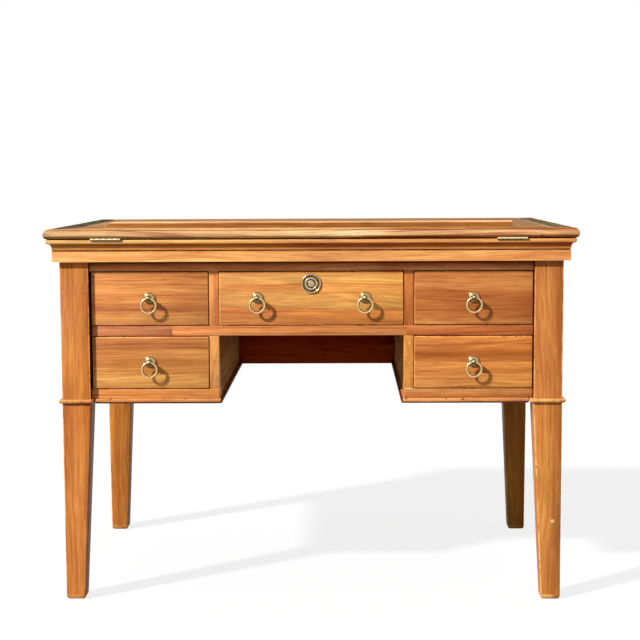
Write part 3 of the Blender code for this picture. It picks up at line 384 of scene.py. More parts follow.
def merged(node):
    """A merged copy of a node's mesh, its flat faces whole."""
    bm = bmesh.new()
    bm.from_mesh(NODES[node].data)
    bmesh.ops.remove_doubles(bm, verts=bm.verts, dist=WELD)
    bmesh.ops.dissolve_limit(bm, angle_limit=FLAT, verts=bm.verts, edges=bm.edges)
    return bm


def cube(sizes, centre):
    """A block of given sizes about a centre."""
    bm = bmesh.new()
    bmesh.ops.create_cube(bm, size=1.0, matrix=Matrix.Translation(centre) @ Matrix.Diagonal((*sizes, 1.0)))
    return bm


def rod(radius, length, sides, axis, centre):
    """A rod about a centre, turned a quarter about one axis."""
    bm = bmesh.new()
    placing = Matrix.Translation(centre) @ Matrix.Rotation(math.pi / 2, 4, axis)
    bmesh.ops.create_cone(bm, cap_ends=True, segments=sides, radius1=radius, radius2=radius, depth=length,
                          matrix=placing)
    return bm


def score(bm, point, normal, **settings):
    """Draw edges where a plane meets a piece: the edges."""
    everything = bm.verts[:] + bm.edges[:] + bm.faces[:]
    cut = bmesh.ops.bisect_plane(bm, geom=everything, plane_co=point, plane_no=normal, dist=WELD, **settings)
    return [edge for edge in cut["geom_cut"] if isinstance(edge, bmesh.types.BMEdge)]


def saw(bm, point, normal):
    """Take away what lies beyond a plane, on the side its normal points to, and close the cut."""
    bmesh.ops.edgeloop_fill(bm, edges=score(bm, point, normal, clear_outer=True))


def rounded_off(bm, edges, width, steps):
    """Round some edges: the new faces."""
    return bmesh.ops.bevel(bm, geom=edges, offset=width, offset_type="OFFSET", segments=steps, profile=0.5,
                           affect="EDGES", material=-1, clamp_overlap=True)["faces"]


def ease(bm, width):
    """Ease the sharp edges and mark the easings as worn."""
    worn = bm.faces.layers.float.new("worn")
    sharp = [edge for edge in bm.edges if edge.is_manifold and edge.calc_face_angle(0.0) > WORKED_ANGLE]
    for face in rounded_off(bm, sharp, width, EASING_STEPS):
        face[worn] = 1.0
    bmesh.ops.recalc_face_normals(bm, faces=bm.faces)


def mark_slopes(bm):
    """Mark faces that slope between the main directions, such as a board's rounded edges."""
    worn = bm.faces.layers.float["worn"]
    for face in bm.faces:
        if max(abs(part) for part in face.normal) < SLOPING:
            face[worn] = 1.0


def paint_shade(bm, amount_at):
    """Mark faces with the painted shade that a rule gives for a face's centre and normal."""
    grime = bm.faces.layers.float.new("grime")
    for face in bm.faces:
        face[grime] = amount_at(face.calc_center_median(), face.normal)


SCRIBE_Z = 0.7825  # a groove is scribed along the upper rounding of the top's rim
SCRIBE_HALF = 0.0009
SCRIBE_DEPTH = 0.0006
OUTER_SHARE = 0.975  # of the top's half width or half depth, beyond which its rounding lies


def scribe(bm):
    """The scribed groove, which keeps its depth round the mitres."""
    for level in (SCRIBE_Z - SCRIBE_HALF, SCRIBE_Z, SCRIBE_Z + SCRIBE_HALF):
        score(bm, UP * level, UP)
    far = cad_box[1]
    for vert in bm.verts:
        outside = max(abs(vert.co.x) / far.x, abs(vert.co.y) / far.y) > OUTER_SHARE
        if outside and abs(vert.co.z - SCRIBE_Z) < WELD:
            for axis in (0, 1):
                vert.co[axis] -= math.copysign(SCRIBE_DEPTH, vert.co[axis])


def board(node, finish, arris=ARRIS, rounded=False, name=None, cuts=(), grime=None, scribed=False):
    """A wooden piece with its node's shape, or the part of it that is left by some cuts."""
    bm = merged(node)
    for point, normal in cuts:
        saw(bm, point, normal)
    ease(bm, arris)
    if scribed:
        scribe(bm)
    if rounded:
        mark_slopes(bm)
    if grime:
        paint_shade(bm, grime)
    finished(name or node + "_wood", bm, finish, node)


def middle_of(node):
    """The middle of a node's box."""
    low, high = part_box(node)
    return (low + high) / 2


TONES = {
    "leg_front_left": (0.460, 0.137, 0.025),
    "leg_front_right": (0.522, 0.177, 0.036),
    "leg_back_left": (0.485, 0.153, 0.025),
    # the back right leg's tone is darkened as painted shade: it stands in the desk's shadow
    "leg_back_right": (0.344, 0.113, 0.013),
    "carcass": (0.520, 0.180, 0.045),
    # the kneehole lining's dark tone is partly painted shade
    "knee_back": (0.340, 0.045, 0.005),
    "knee_wall": (0.520, 0.250, 0.090),
    "frieze": (0.860, 0.345, 0.120),
    "rail": (0.680, 0.230, 0.064),
    "rail_pink": (0.530, 0.168, 0.062),
    "rail_right": (0.515, 0.147, 0.037),
    "stile_left": (0.720, 0.290, 0.082),
    "stile_right": (0.660, 0.246, 0.049),
    "muntin_left": (0.700, 0.243, 0.064),
    "muntin_right": (0.560, 0.170, 0.041),
    "bottom_rail_left": (0.780, 0.300, 0.073),
    "bottom_rail_right": (0.475, 0.163, 0.041),
    "lip": (0.560, 0.200, 0.055),
    "cornice": (0.980, 0.430, 0.135),
    "rim": (0.815, 0.484, 0.224),
    "panel": (0.440, 0.215, 0.098),
    "ledge": (1.000, 0.690, 0.370),
    "front_upper_left": (0.620, 0.245, 0.070),
    "front_centre": (0.790, 0.308, 0.069),
    "front_upper_right": (0.530, 0.194, 0.049),
    "front_lower_left": (0.640, 0.264, 0.071),
    "front_lower_right": (0.680, 0.246, 0.054),
    "box": (0.560, 0.330, 0.150),
    "easel": (0.520, 0.280, 0.110),
    "filler": (0.860, 0.540, 0.250),
}


def wood_for(node, tone, grain, pith, seed, label=None, **character):
    """A finish laid out for one node."""
    return wood("wood_" + (label or node), TONES[tone], grain, middle_of(node), pith, seed, **character)


def over(node, axis, sway, stops):
    """A tint that runs over the whole of a node along one axis."""
    low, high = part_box(node)
    return axis, low[axis], high[axis], sway, stops


ALONG = {"x": Vector((1, 0, 0)), "y": Vector((0, 1, 0)), "z": UP}


def boards_of(node, tone, grain, across, levels, pith, seed, shades, **character):
    """A wide panel as boards glued edge to edge at given levels, each with its own shade."""
    normal = ALONG[across]
    for index, shade in enumerate(shades):
        cuts = []
        if index:
            cuts.append((normal * levels[index - 1], -normal))
        if index < len(levels):
            cuts.append((normal * levels[index], normal))
        label = "%s_board_%d" % (node, index + 1)
        lean = (pith[0] * (1 - 0.35 * index), pith[1] * (0.6 + 0.3 * index))  # each cut from another place
        finish = wood("wood_" + label, lighter(TONES[tone], shade), grain, middle_of(node), lean,
                      seed + 3.3 * index, **character)
        board(node, finish, BOARD_JOINT, name=label, cuts=cuts)


# Legs, their feet rounded by wear
FOOT_ROUNDING = 0.007
FOOT_LEVELS = (0.0004, 0.0014, 0.0032, 0.007, 0.011)
FOOT_WEAR_Z = 0.011  # the feet are scuffed pale up to this
LEG_ARRIS = 0.0020
# the legs' worn arrises and collars, made extra pale as a painted highlight as well as wear
LEG_RUBBED_AND_HIGHLIGHT = (1.75, 2.7, 4.2)
POST_FOOT_Z = 0.43
LEG_TINT = [(0.0, (0.96, 0.94, 0.94)), (0.20, PLAIN), (0.42, PLAIN),
            (0.53, (0.96, 0.88, 0.88)), (0.57, (0.98, 0.94, 0.94))]
POST_SHARE = 0.60  # of a leg's height, where its post begins
POST_TINT = {"left": (0.96, 0.98, 1.0), "right": (0.80, 0.75, 0.79)}
LEG_SEEDS = {"leg_front_left": 4.326, "leg_front_right": 6.552, "leg_back_left": 5.1,
             "leg_back_right": 9.778}
SHADED = {"left": 0.60, "right": 0.10}  # how dark the painted shade on the inner faces of the tapered legs is
REVEAL_PAINTED_SHADE = 0.85  # painted shade on a post's inner face, beside the drawers
SIDEWAYS = 0.9  # a face whose normal lies this far along X faces left or right
ROUNDING_STEPS = 3
MOST_INWARD = 0.4  # of the way to a foot's centre


def leg(node, finish, shaded):
    """A leg with rounded arrises and foot, with painted shade of a given amount on its inner faces."""
    bm = merged(node)
    arrises = [edge for edge in bm.edges if edge.is_convex and edge.calc_face_angle(0.0) > WORKED_ANGLE
               and max(vert.co.z for vert in edge.verts) < POST_FOOT_Z
               and abs(edge.verts[0].co.z - edge.verts[1].co.z) > POST_FOOT_Z / 2]
    rounded_off(bm, arrises, LEG_ARRIS, ROUNDING_STEPS)
    feet = [vert for vert in bm.verts if vert.co.z < WELD]
    centre = sum((vert.co for vert in feet), Vector()) / len(feet)
    for level in FOOT_LEVELS:
        score(bm, UP * level, UP)
    for vert in bm.verts:
        if vert.co.z < FOOT_ROUNDING:
            rise = FOOT_ROUNDING - vert.co.z
            inward = FOOT_ROUNDING - math.sqrt(FOOT_ROUNDING ** 2 - rise ** 2)
            for axis in (0, 1):
                offset = vert.co[axis] - centre[axis]
                vert.co[axis] -= math.copysign(min(inward, abs(offset) * MOST_INWARD), offset)
    ease(bm, ARRIS)
    mark_slopes(bm)
    worn = bm.faces.layers.float["worn"]
    for face in bm.faces:
        if face.calc_center_median().z < FOOT_WEAR_Z:
            face[worn] = 1.0

    def reveal(middle, normal):
        """Painted shade on the inner faces: dark beside the drawers, the given amount below."""
        if abs(normal.x) < SIDEWAYS or normal.x * centre.x > 0.0 or middle.z < FOOT_WEAR_Z:
            return 0.0
        return REVEAL_PAINTED_SHADE if middle.z > POST_FOOT_Z else shaded

    paint_shade(bm, reveal)
    finished(node + "_wood", bm, finish, node)


for index, (node, seed) in enumerate(LEG_SEEDS.items()):
    side = node.split("_")[-1]
    stops = LEG_TINT + [(POST_SHARE, POST_TINT[side]), (1.0, POST_TINT[side])]
    finish = wood_for(node, node, "z", (0.03, 0.11 + 0.02 * index), seed, marks=0.6, streaks=0.40, bands=0.9,
                      wear=0.8, rubbed=LEG_RUBBED_AND_HIGHLIGHT, tints=[over(node, 2, 0.0, stops)])
    leg(node, finish, SHADED[side])

# Carcass boards
RAIL_FRONT_Y = -0.3095
STILE_BACK_Y = RAIL_FRONT_Y + 0.022
RAIL_MIDDLE_Z = 0.5715
PANEL_JOINT_Z = 0.572
BACK_LINING_Y = 0.304
RAW = {"rough": (0.80, 0.92), "shine": 0.0}
# painted shade: the kneehole lining darkens upwards from its lit foot
KNEEHOLE_BACK_SHADE = [(0.0, PLAIN), (0.14, (0.95, 0.85, 0.9)), (0.30, (0.62, 0.04, 0.5)),
             (1.0, (0.58, 0.02, 0.4))]
# painted shade and dirt: the frieze darkens to near black under the cornice
FRIEZE_SHADE = [(0.0, PLAIN), (0.35, (0.86, 0.84, 0.82)), (0.66, (0.55, 0.48, 0.42)),
               (0.80, (0.32, 0.22, 0.14)), (0.90, (0.10, 0.02, 0.005)), (1.0, (0.03, 0.003, 0.0))]
for index, side in enumerate(SIDES):
    boards_of("side_panel_" + side, "carcass", "y", "z", (PANEL_JOINT_Z,), (0.16, 0.05), 7.3 + index,
              (1.0, 1.12))
lining = wood_for("back_panel", "knee_back", "x", (0.12, 0.06), 9.9,
                  tints=[over("back_panel", 2, 0.06, KNEEHOLE_BACK_SHADE)], **RAW)
board("back_panel", lining, name="back_panel_lining", cuts=[((0, BACK_LINING_Y, 0), (0, 1, 0))])
back_wood = wood_for("back_panel", "carcass", "x", (0.12, 0.08), 10.4, "back_panel_outside")
board("back_panel", back_wood, name="back_panel_wood", cuts=[((0, BACK_LINING_Y, 0), (0, -1, 0))])
board("bed_board", wood_for("bed_board", "frieze", "x", (0.10, 0.16), 11.2, rough=(0.6, 0.75), shine=0.0,
                            tints=[over("bed_board", 2, 0.14, FRIEZE_SHADE)]))

# The drawer rail is pieced: a pinkish length beside the left post, a golden one, a red one to the right
PINK_X = -0.291
RED_X = 0.199
SLANT = Vector((1.0, 0.0, 0.18)).normalized()
SQUARE = ALONG["x"]
RAIL_END = 0.012  # the rail is black beside the left post with painted shade and dirt
RAIL_END_SHADE = [(0.0, (0.10, 0.07, 0.06)), (0.30, (0.14, 0.10, 0.08)), (0.42, PLAIN),
            (1.0, PLAIN)]
rail_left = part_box("drawer_rail")[0].x
first_cut = ((PINK_X, 0, RAIL_MIDDLE_Z), SLANT)
second_cut = ((RED_X, 0, RAIL_MIDDLE_Z), SQUARE)
for index, (tone, cuts) in enumerate((("rail_pink", [first_cut]),
                                      ("rail", [(first_cut[0], -SLANT), second_cut]),
                                      ("rail_right", [(second_cut[0], -SQUARE)]))):
    tints = [(0, rail_left, rail_left + RAIL_END, 0.0, RAIL_END_SHADE)] if tone == "rail_pink" else []
    finish = wood_for("drawer_rail", tone, "x", (0.03, 0.12), 12.4 + index, "drawer_" + tone, streaks=0.6,
                      tints=tints)
    board("drawer_rail", finish, rounded=True, name="drawer_" + tone + "_length", cuts=cuts)

# painted shade: the kneehole walls darken upwards from the floor
KNEE_WALL_SHADE = [(0.0, PLAIN), (0.20, (0.84, 0.78, 0.70)), (0.46, (0.62, 0.48, 0.36)),
             (1.0, (0.60, 0.46, 0.34))]
KNEE_X = 0.20  # the pedestals' bottoms end in the kneehole past this
LIP_PAINTED_SHADE = 0.92
DOWNWARD = -0.3  # a face whose normal falls below this looks down


def lip_painted_shade(middle, normal):
    """Painted shade on the underside of a pedestal, and on its rounded edge along the kneehole."""
    return LIP_PAINTED_SHADE if normal.z < DOWNWARD or abs(middle.x) < KNEE_X else 0.0


for index, side in enumerate(SIDES):
    node = "bottom_rail_" + side
    board(node, wood_for(node, node, "x", (0.03, 0.13), 13.6 + index, streaks=0.6), rounded=True)
    node = "divider_" + side
    behind = ((0, STILE_BACK_Y, 0), ALONG["y"])
    for word, upward in (("muntin", 1), ("stile", -1)):
        label = "%s_%s" % (word, side)
        finish = wood_for(node, label, "z", (0.03, 0.12 + 0.04 * upward), 15.5 + index, label, streaks=0.6,
                          marks=0.7)
        board(node, finish, name=label, cuts=[behind, (UP * RAIL_MIDDLE_Z, -upward * UP)])
    wall = wood_for(node, "knee_wall", "y", (0.03, 0.14), 16.2 + index, marks=0.9,
                    tints=[over(node, 2, 0.2, KNEE_WALL_SHADE)], **RAW)
    board(node, wall, name="knee_wall_" + side, cuts=[(behind[0], -behind[1])])
    node = "pedestal_bottom_" + side
    board(node, wood_for(node, "lip", "x", (0.10, 0.09), 17.7 + index), rounded=True, grime=lip_painted_shade)

# Glue blocks behind the kneehole's lower corners
BLOCK_X = (0.1820, 0.1935)
BLOCK_Z = (0.4232, 0.4330)
BLOCK_THICKNESS = 0.003
BLOCK_EASING = 0.0005
GLUE = 0.0003
block_wood = wood("wood_glue_block", TONES["carcass"], "z", (0, 0, 0), (0.03, 0.05), 18.4)
block_sizes = (BLOCK_X[1] - BLOCK_X[0], BLOCK_THICKNESS, BLOCK_Z[1] - BLOCK_Z[0])
block_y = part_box("back_panel")[1].y + GLUE + BLOCK_THICKNESS / 2
for side, sign in zip(SIDES, (-1, 1)):
    bm = cube(block_sizes, (sign * sum(BLOCK_X) / 2, block_y, sum(BLOCK_Z) / 2))
    ease(bm, BLOCK_EASING)
    finished("glue_block_" + side, bm, block_wood, "back_panel", replaced=False)
for index, place in enumerate(("centre", "left", "right")):
    node = "dust_board_" + place
    board(node, wood_for(node, "box", "x", (0.2, 0.2), 19.1 + index, marks=0.8, **RAW))

# Mouldings and top
DRY = {"rough": (0.65, 0.80), "shine": 0.0}
PANEL_JOINTS = (-0.152, -0.041, 0.072, 0.181)
PANEL_SHADES = (1.0, 0.86, 1.08, 0.92, 1.02)
QUIRK_Z = (0.7400, 0.7416)
COVE_TOP_Z = 0.7549
CORNICE_TOP = 0.7639
RIM_UNDER = 0.7645
NEAR = 0.0012  # faces this near to a joint get painted shade
FILLET_TOP_Z = 0.7456
SHADED_EDGE = 0.0007  # painted shade reaches this far down the fascia below the quirk
# painted shade down the quirk, fillet and cove, in the shadow of the band
QUIRK_BLACK = (0.22, 0.08, 0.02)
FILLET_BROWN = (0.70, 0.64, 0.57)
COVE_FOOT = (0.70, 0.53, 0.31)
COVE_MIDDLE = (0.64, 0.40, 0.17)
COVE_HEAD = (0.40, 0.16, 0.03)
SOFT = 0.02  # of a cornice's height, over which one tint fades into the next
TOP_Z = 0.785
RIM_QUIRK = 0.0012
LEDGE_TINT = [(0.0, (0.40, 0.25, 0.112)), (0.85, (0.40, 0.25, 0.112)), (0.93, PLAIN),
              (1.0, PLAIN)]  # a painted highlight: the ledge is pale along its top, darker below
LEDGE_BLEACH = [(0.0, PLAIN), (0.16, (0.98, 0.94, 0.88)), (0.28, (0.80, 0.64, 0.58)),
                (0.62, (0.80, 0.64, 0.58)), (0.70, (1.0, 0.82, 0.76)), (1.0, (1.0, 0.82, 0.76))]
# the ledge's worn arrises, kept pale as part of the painted highlight
LEDGE_RUBBED_AND_HIGHLIGHT = (1.05, 1.10, 1.15)
LEDGE_ARRIS = 0.0015
PANEL_STRIP = (-0.297, -0.277)  # the panel is dirty in front of the ledge
STRIP_TINT = [(0.0, (0.60, 0.42, 0.28)), (0.62, (0.60, 0.42, 0.28)), (0.70, PLAIN),
              (1.0, PLAIN)]
FASCIA_TINT = [(0.0, PLAIN), (0.35, (0.97, 0.94, 0.83)), (0.50, (0.80, 0.70, 0.66)),
               (0.68, (0.84, 0.70, 0.66)), (0.82, (0.94, 0.83, 0.72)), (1.0, (0.78, 0.62, 0.56))]
SIDE_FASCIA_TINT = [(share, (0.90, 0.76, 0.70)) for share in (0.0, 1.0)]
RIM_TINT = [(0.0, (0.95, 1.0, 1.0)), (0.10, (0.90, 0.87, 0.80)), (0.20, (1.0, 0.98, 0.96)),
            (0.58, PLAIN), (0.66, (0.80, 0.62, 0.54)), (0.74, (0.67, 0.48, 0.39)),
            (0.86, (0.78, 0.57, 0.47)), (1.0, (0.80, 0.60, 0.50))]
FLAT_DEPTH = 0.0010  # a rail counts as flat on top down to this depth
# how dark the painted shade is in quirks, grooves, joints and under the rim
PAINTED_SHADE = {"quirk": 0.98, "shelf": 0.85, "groove": 0.55, "joint": 0.84, "turn": 0.48, "rim_quirk": 0.70}
UNDERSIDE = -0.75  # normals of the rim's lower faces fall below this
TURNING_UNDER = -0.35  # and below this where it turns under
RIM_QUIRK_SLOPES = (0.3, 0.6)


def cove_painted_shade(foot, top):
    """Painted shade, red and dark, in the quirk and cove of a cornice that stands between two levels, under
    its band.
    """
    levels = (QUIRK_Z[0] - SHADED_EDGE, QUIRK_Z[1], FILLET_TOP_Z, COVE_TOP_Z)
    edge, quirk, fillet, cove = ((level - foot) / (top - foot) for level in levels)
    return [(0.0, PLAIN), (edge - SOFT, PLAIN), (edge, QUIRK_BLACK), (quirk, QUIRK_BLACK),
            (quirk + SOFT, FILLET_BROWN), (fillet, COVE_FOOT), ((fillet + cove) / 2, COVE_MIDDLE),
            (cove - SOFT, COVE_HEAD), (cove, PLAIN), (1.0, PLAIN)]


def moulding_painted_shade(middle, _normal):
    """Painted shade in the quirk, and on the cornice's top under the lid."""
    if QUIRK_Z[0] < middle.z < QUIRK_Z[1]:
        return PAINTED_SHADE["quirk"]
    return PAINTED_SHADE["shelf"] if middle.z > CORNICE_TOP - NEAR else 0.0


FRAME_TOP = {"back": (0.60, 0.62, 0.64), "left": (0.16, 0.19, 0.225), "right": (0.21, 0.23, 0.25)}
FRAME_ROUNDING = {"back": (0.85, 0.85, 0.85), "left": (0.72, 0.70, 0.68), "right": (0.72, 0.66, 0.62)}


def rim_painted_shade(middle, normal):
    """Painted shade where the lid closes on the cornice, on the rim's under-curve, in the quirk and in the
    scribed groove.
    """
    if abs(middle.z - SCRIBE_Z) < SCRIBE_HALF:
        return PAINTED_SHADE["groove"]
    if middle.z < RIM_UNDER + NEAR or normal.z < UNDERSIDE:
        return PAINTED_SHADE["joint"]
    if normal.z < TURNING_UNDER:
        return PAINTED_SHADE["turn"]
    quirk = middle.z > TOP_Z - RIM_QUIRK and RIM_QUIRK_SLOPES[0] < normal.z < RIM_QUIRK_SLOPES[1]
    return PAINTED_SHADE["rim_quirk"] if quirk else 0.0


def weathered(rounding, flat):
    """Greyed wood on the flat of a frame, less so on its rounding."""
    return [(0.0, rounding), (0.55, rounding), (0.75, flat), (1.0, flat)]


for index, (face, grain) in enumerate((("front", "x"), ("back", "x"), ("left", "y"), ("right", "y"))):
    node = "cornice_" + face
    low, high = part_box(node)
    tints = [over(node, 0, 0.04, FASCIA_TINT if face == "front" else SIDE_FASCIA_TINT),
             over(node, 2, 0.0, cove_painted_shade(low.z, high.z))]
    board(node, wood_for(node, "cornice", grain, (0.04, 0.14), 25.139 + index, streaks=0.5, wear=0.8,
                         tints=tints), MOULDED_EDGE, grime=moulding_painted_shade)
    node = "top_rim_" + face
    tints = [over(node, 0, 0.08, RIM_TINT)]
    if face != "front":
        tints = [(2, TOP_Z - FLAT_DEPTH, TOP_Z, 0.0, weathered(FRAME_ROUNDING[face], FRAME_TOP[face]))]
    board(node, wood_for(node, "rim", grain, (0.05, 0.10), 27.9 + index, marks=0.9, wear=0.8, bands=0.9,
                         streaks=1.3, tints=tints, **DRY), MOULDED_EDGE, grime=rim_painted_shade, scribed=True)
boards_of("drawing_panel", "panel", "x", "y", PANEL_JOINTS, (0.25, 0.10), 31.7, PANEL_SHADES, marks=0.8,
          tints=[(1, *PANEL_STRIP, 0.1, STRIP_TINT)], **DRY)
tints = [over("book_ledge", 2, 0.10, LEDGE_TINT), over("book_ledge", 0, 0.05, LEDGE_BLEACH)]
board("book_ledge", wood_for("book_ledge", "ledge", "x", (0.04, 0.10), 33.1, rubbed=LEDGE_RUBBED_AND_HIGHLIGHT, tints=tints,
                             **DRY), LEDGE_ARRIS)

# Easel
for index, node in enumerate(("rack_left", "rack_right", "easel_cleat", "easel_frame")):
    grain = "x" if node == "easel_cleat" else "y"
    board(node, wood_for(node, "easel", grain, (0.05, 0.04), 35.0 + index, **RAW))

# Drawers. Tints run from the foot of a front to its top.
TINTS = {
    "centre": [(0.0, (0.76, 0.60, 0.57)), (0.14, (0.84, 0.70, 0.63)), (0.26, (0.79, 0.64, 0.59)),
               (0.34, (0.92, 0.88, 0.82)), (0.48, (0.98, 0.96, 0.92)), (0.62, (0.92, 0.88, 0.82)),
               (0.78, (1.0, 1.0, 0.96)), (1.0, (0.92, 0.88, 0.80))],
    "upper_left": [(0.0, (0.82, 0.70, 0.70)), (0.08, (1.0, 0.98, 0.92)), (0.22, (0.98, 0.94, 0.86)),
                   (0.29, (0.64, 0.46, 0.47)), (0.36, (0.72, 0.55, 0.54)), (0.45, (0.95, 0.86, 0.76)),
                   (0.56, (0.80, 0.64, 0.60)), (0.66, (0.96, 0.88, 0.78)), (0.84, (1.0, 1.0, 0.98)),
                   (0.91, (0.80, 0.72, 0.64)), (1.0, (0.92, 0.86, 0.80))],
    "upper_right": [(0.0, (0.80, 0.66, 0.62)), (0.06, (1.0, 0.94, 0.88)), (0.13, (0.84, 0.70, 0.66)),
                    (0.34, (0.80, 0.63, 0.57)), (0.58, (0.84, 0.69, 0.62)), (0.72, (0.97, 0.93, 0.92)),
                    (0.84, (0.90, 0.84, 0.82)), (1.0, (0.94, 0.91, 0.90))],
    "lower_left": [(0.0, (0.96, 0.96, 0.86)), (0.20, (1.0, 1.0, 0.90)), (0.40, (0.98, 0.94, 0.84)),
                   (0.48, (0.78, 0.69, 0.60)), (0.60, (0.92, 0.86, 0.78)), (0.70, (0.80, 0.71, 0.66)),
                   (0.86, (0.68, 0.59, 0.59)), (0.97, (0.74, 0.64, 0.64)), (1.0, (1.0, 0.96, 0.92))],
    "lower_right": [(0.0, (0.92, 0.88, 0.84)), (0.10, (0.98, 0.98, 0.94)), (0.46, (0.96, 0.94, 0.88)),
                    (0.56, (0.90, 0.80, 0.72)), (0.64, (0.64, 0.46, 0.36)), (0.72, (0.76, 0.60, 0.50)),
                    (0.79, (0.90, 0.78, 0.70)), (0.86, (0.74, 0.58, 0.50)), (1.0, (0.92, 0.82, 0.74))],
}
LEFT_SHADE = {"centre": (0.76, 0.76, 0.97), "upper_left": PLAIN, "upper_right": (0.93, 0.94, 0.96),
              "lower_left": (0.91, 0.92, 0.94), "lower_right": (0.75, 0.77, 0.83)}  # each front is darker at its left end, paler to its right
LEFT_SHADE_SWAY = 0.1
TINT_RISE = 1.18  # the tones are lifted by this, because tints only darken
TINT_SWAY = 0.13
FRONT_Y = -0.312
FRONT_JOINTS = {"centre": ((0.0, FRONT_Y, 0.6157), Vector((0.0185, 0.0, 1.0)).normalized()),
                "lower_right": ((0.3375, FRONT_Y, 0.505), UP)}
FRONT_SEEDS = {"centre": 44.978, "upper_left": 47.078, "upper_right": 47.339, "lower_left": 50.052,
               "lower_right": 53.991}
FRONT_STREAKS = {"centre": (0.50, 0.85)}  # of the upper and the lower board, where they differ
USUAL_STREAKS = (0.85, 0.85)
TAIL_LENGTH = 0.0115  # dovetails that show on a front's ends
TAIL_HALF = 0.0075
TAIL_NECK = 0.005
TAIL_DEPTH = 0.001  # how far a tail reaches in from the end of its front
TAIL_PROUD = 0.0001
TAILS = 3
LEFT_GAP = 0.0025  # the left drawers stand this much further from their post


def dovetails(place, finish):
    """The tails of a drawer's sides, let into the ends of its front."""
    front_low, front_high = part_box("drawer_front_" + place)
    box_low, box_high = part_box("drawer_box_" + place)
    bm = bmesh.new()
    spacing = (box_high.z - box_low.z) / TAILS
    left_end = front_low.x + (LEFT_GAP if place.endswith("left") else 0.0)
    for end_x, inward in ((left_end, 1), (front_high.x, -1)):
        for index in range(TAILS):
            level = box_low.z + spacing * (index + 0.5)
            corners = [(front_high.y - TAIL_LENGTH, TAIL_HALF), (front_high.y - TAIL_LENGTH, -TAIL_HALF),
                       (front_high.y, -TAIL_NECK), (front_high.y, TAIL_NECK)]
            start_x = end_x - inward * TAIL_PROUD
            face = bm.faces.new([bm.verts.new((start_x, y, level + z)) for y, z in corners])
            raised = bmesh.ops.extrude_face_region(bm, geom=[face])
            moved = [item for item in raised["geom"] if isinstance(item, bmesh.types.BMVert)]
            bmesh.ops.translate(bm, verts=moved, vec=(inward * TAIL_DEPTH, 0.0, 0.0))
    bmesh.ops.recalc_face_normals(bm, faces=bm.faces)
    finished("drawer_tails_" + place, bm, finish, "drawer_box_" + place, replaced=False)


for index, place in enumerate(DRAWERS):
    node = "drawer_front_" + place
    tone = lighter(TONES["front_" + place], TINT_RISE)
    joint = FRONT_JOINTS.get(place)
    parts = [("", [])]
    if joint:
        parts = [("_upper_board", [(joint[0], -joint[1])]), ("_lower_board", [joint])]
    gap = [(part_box(node)[0] + LEFT_GAP * SQUARE, -SQUARE)] if place.endswith("left") else []
    tints = [over(node, 2, TINT_SWAY, TINTS[place]),
             over(node, 0, LEFT_SHADE_SWAY, [(0.0, LEFT_SHADE[place]), (1.0, PLAIN)])]
    streaks = FRONT_STREAKS.get(place, USUAL_STREAKS)
    for share, (label, cuts) in enumerate(parts):
        finish = wood("wood_" + node + label, tone, "x", middle_of(node), (0.04, 0.15 + 0.03 * index),
                      FRONT_SEEDS[place] + 5.7 * share, streaks=streaks[share], curl=0.35, tints=tints)
        board(node, finish, BOARD_JOINT if joint else ARRIS, rounded=True, name=node + (label or "_wood"),
              cuts=cuts + gap)
    node = "drawer_box_" + place
    box_wood = wood_for(node, "box", "y", (0.08, 0.05), 53.9 + index, **RAW)
    board(node, box_wood)
    dovetails(place, box_wood)

# Old nail holes and a knock, stopped with pale filler
STOPPING = (("divider_left", -0.2016, RAIL_FRONT_Y, 0.6416, 0.0017),
            ("divider_left", -0.2016, RAIL_FRONT_Y, 0.6060, 0.0015),
            ("divider_right", 0.2048, RAIL_FRONT_Y, 0.5452, 0.0018),
            ("divider_right", 0.2048, RAIL_FRONT_Y, 0.5031, 0.0016),
            ("leg_front_right", 0.5045, -0.322, 0.1688, 0.0040))
STOPPING_DEPTH = 0.004
STOPPING_PROUD = 0.0002
STRIP = (0.0155, 0.004, 0.0028)
STRIP_CENTRE = (0.2033, RAIL_FRONT_Y - STOPPING_PROUD + STRIP[1] / 2, 0.4484)
STRIP_EASING = 0.0003
filler_wood = wood("filler", TONES["filler"], "z", (0, 0, 0), (0.02, 0.02), 61.0, streaks=0.2, bands=0.3)
for index, (node, x, y, z, radius) in enumerate(STOPPING):
    centre = (x, y - STOPPING_PROUD + STOPPING_DEPTH / 2, z)
    finished("stopping_%d" % (index + 1), rod(radius, STOPPING_DEPTH, 16, "X", centre), filler_wood, node,
             replaced=False)
bm = cube(STRIP, STRIP_CENTRE)
ease(bm, STRIP_EASING)
finished("stopping_strip", bm, filler_wood, "divider_right", replaced=False)

# Brass
OLD_BRASS = brass("old_brass", (0.57, 0.42, 0.19), (0.075, 0.038, 0.010), 0.5)
RING_BRASS = brass("ring_brass", (0.80, 0.58, 0.29), (0.10, 0.045, 0.012), 0.30)
LOCK_BRASS = brass("lock_brass", (0.61, 0.465, 0.27), (0.085, 0.045, 0.018), 0.5)
HINGE_BRASS = brass("hinge_brass", (0.95, 0.78, 0.45), (0.06, 0.03, 0.008), 0.12)
SEAT_Y = FRONT_Y - 0.0003
PULL_STANDOFF = 0.016
EYE_RADIUS = 0.0058
EYE_BORE = 0.0033
BORE_LENGTH = 0.03
RING_RADIUS = 0.0150
RING_WIRE = 0.0025
LOCK_Z = 0.670
LOCK_BACK = -0.0203
CAM_REACH = 0.033
CAM_HALF = 0.005
CAM_THICKNESS = 0.003
CAM_SEAT = 0.0003  # the cam's front stands this far behind the barrel
KEY_SLOT = (0.002, 0.009, 0.004)
TURNED_STEPS = 56
TURNED_WELD = 1e-6
HINGE_EASING = 0.0002
HINGE_SHADE_Z = 0.7632  # painted shade: the knuckles are brown below this
HINGE_BROWN = 0.9
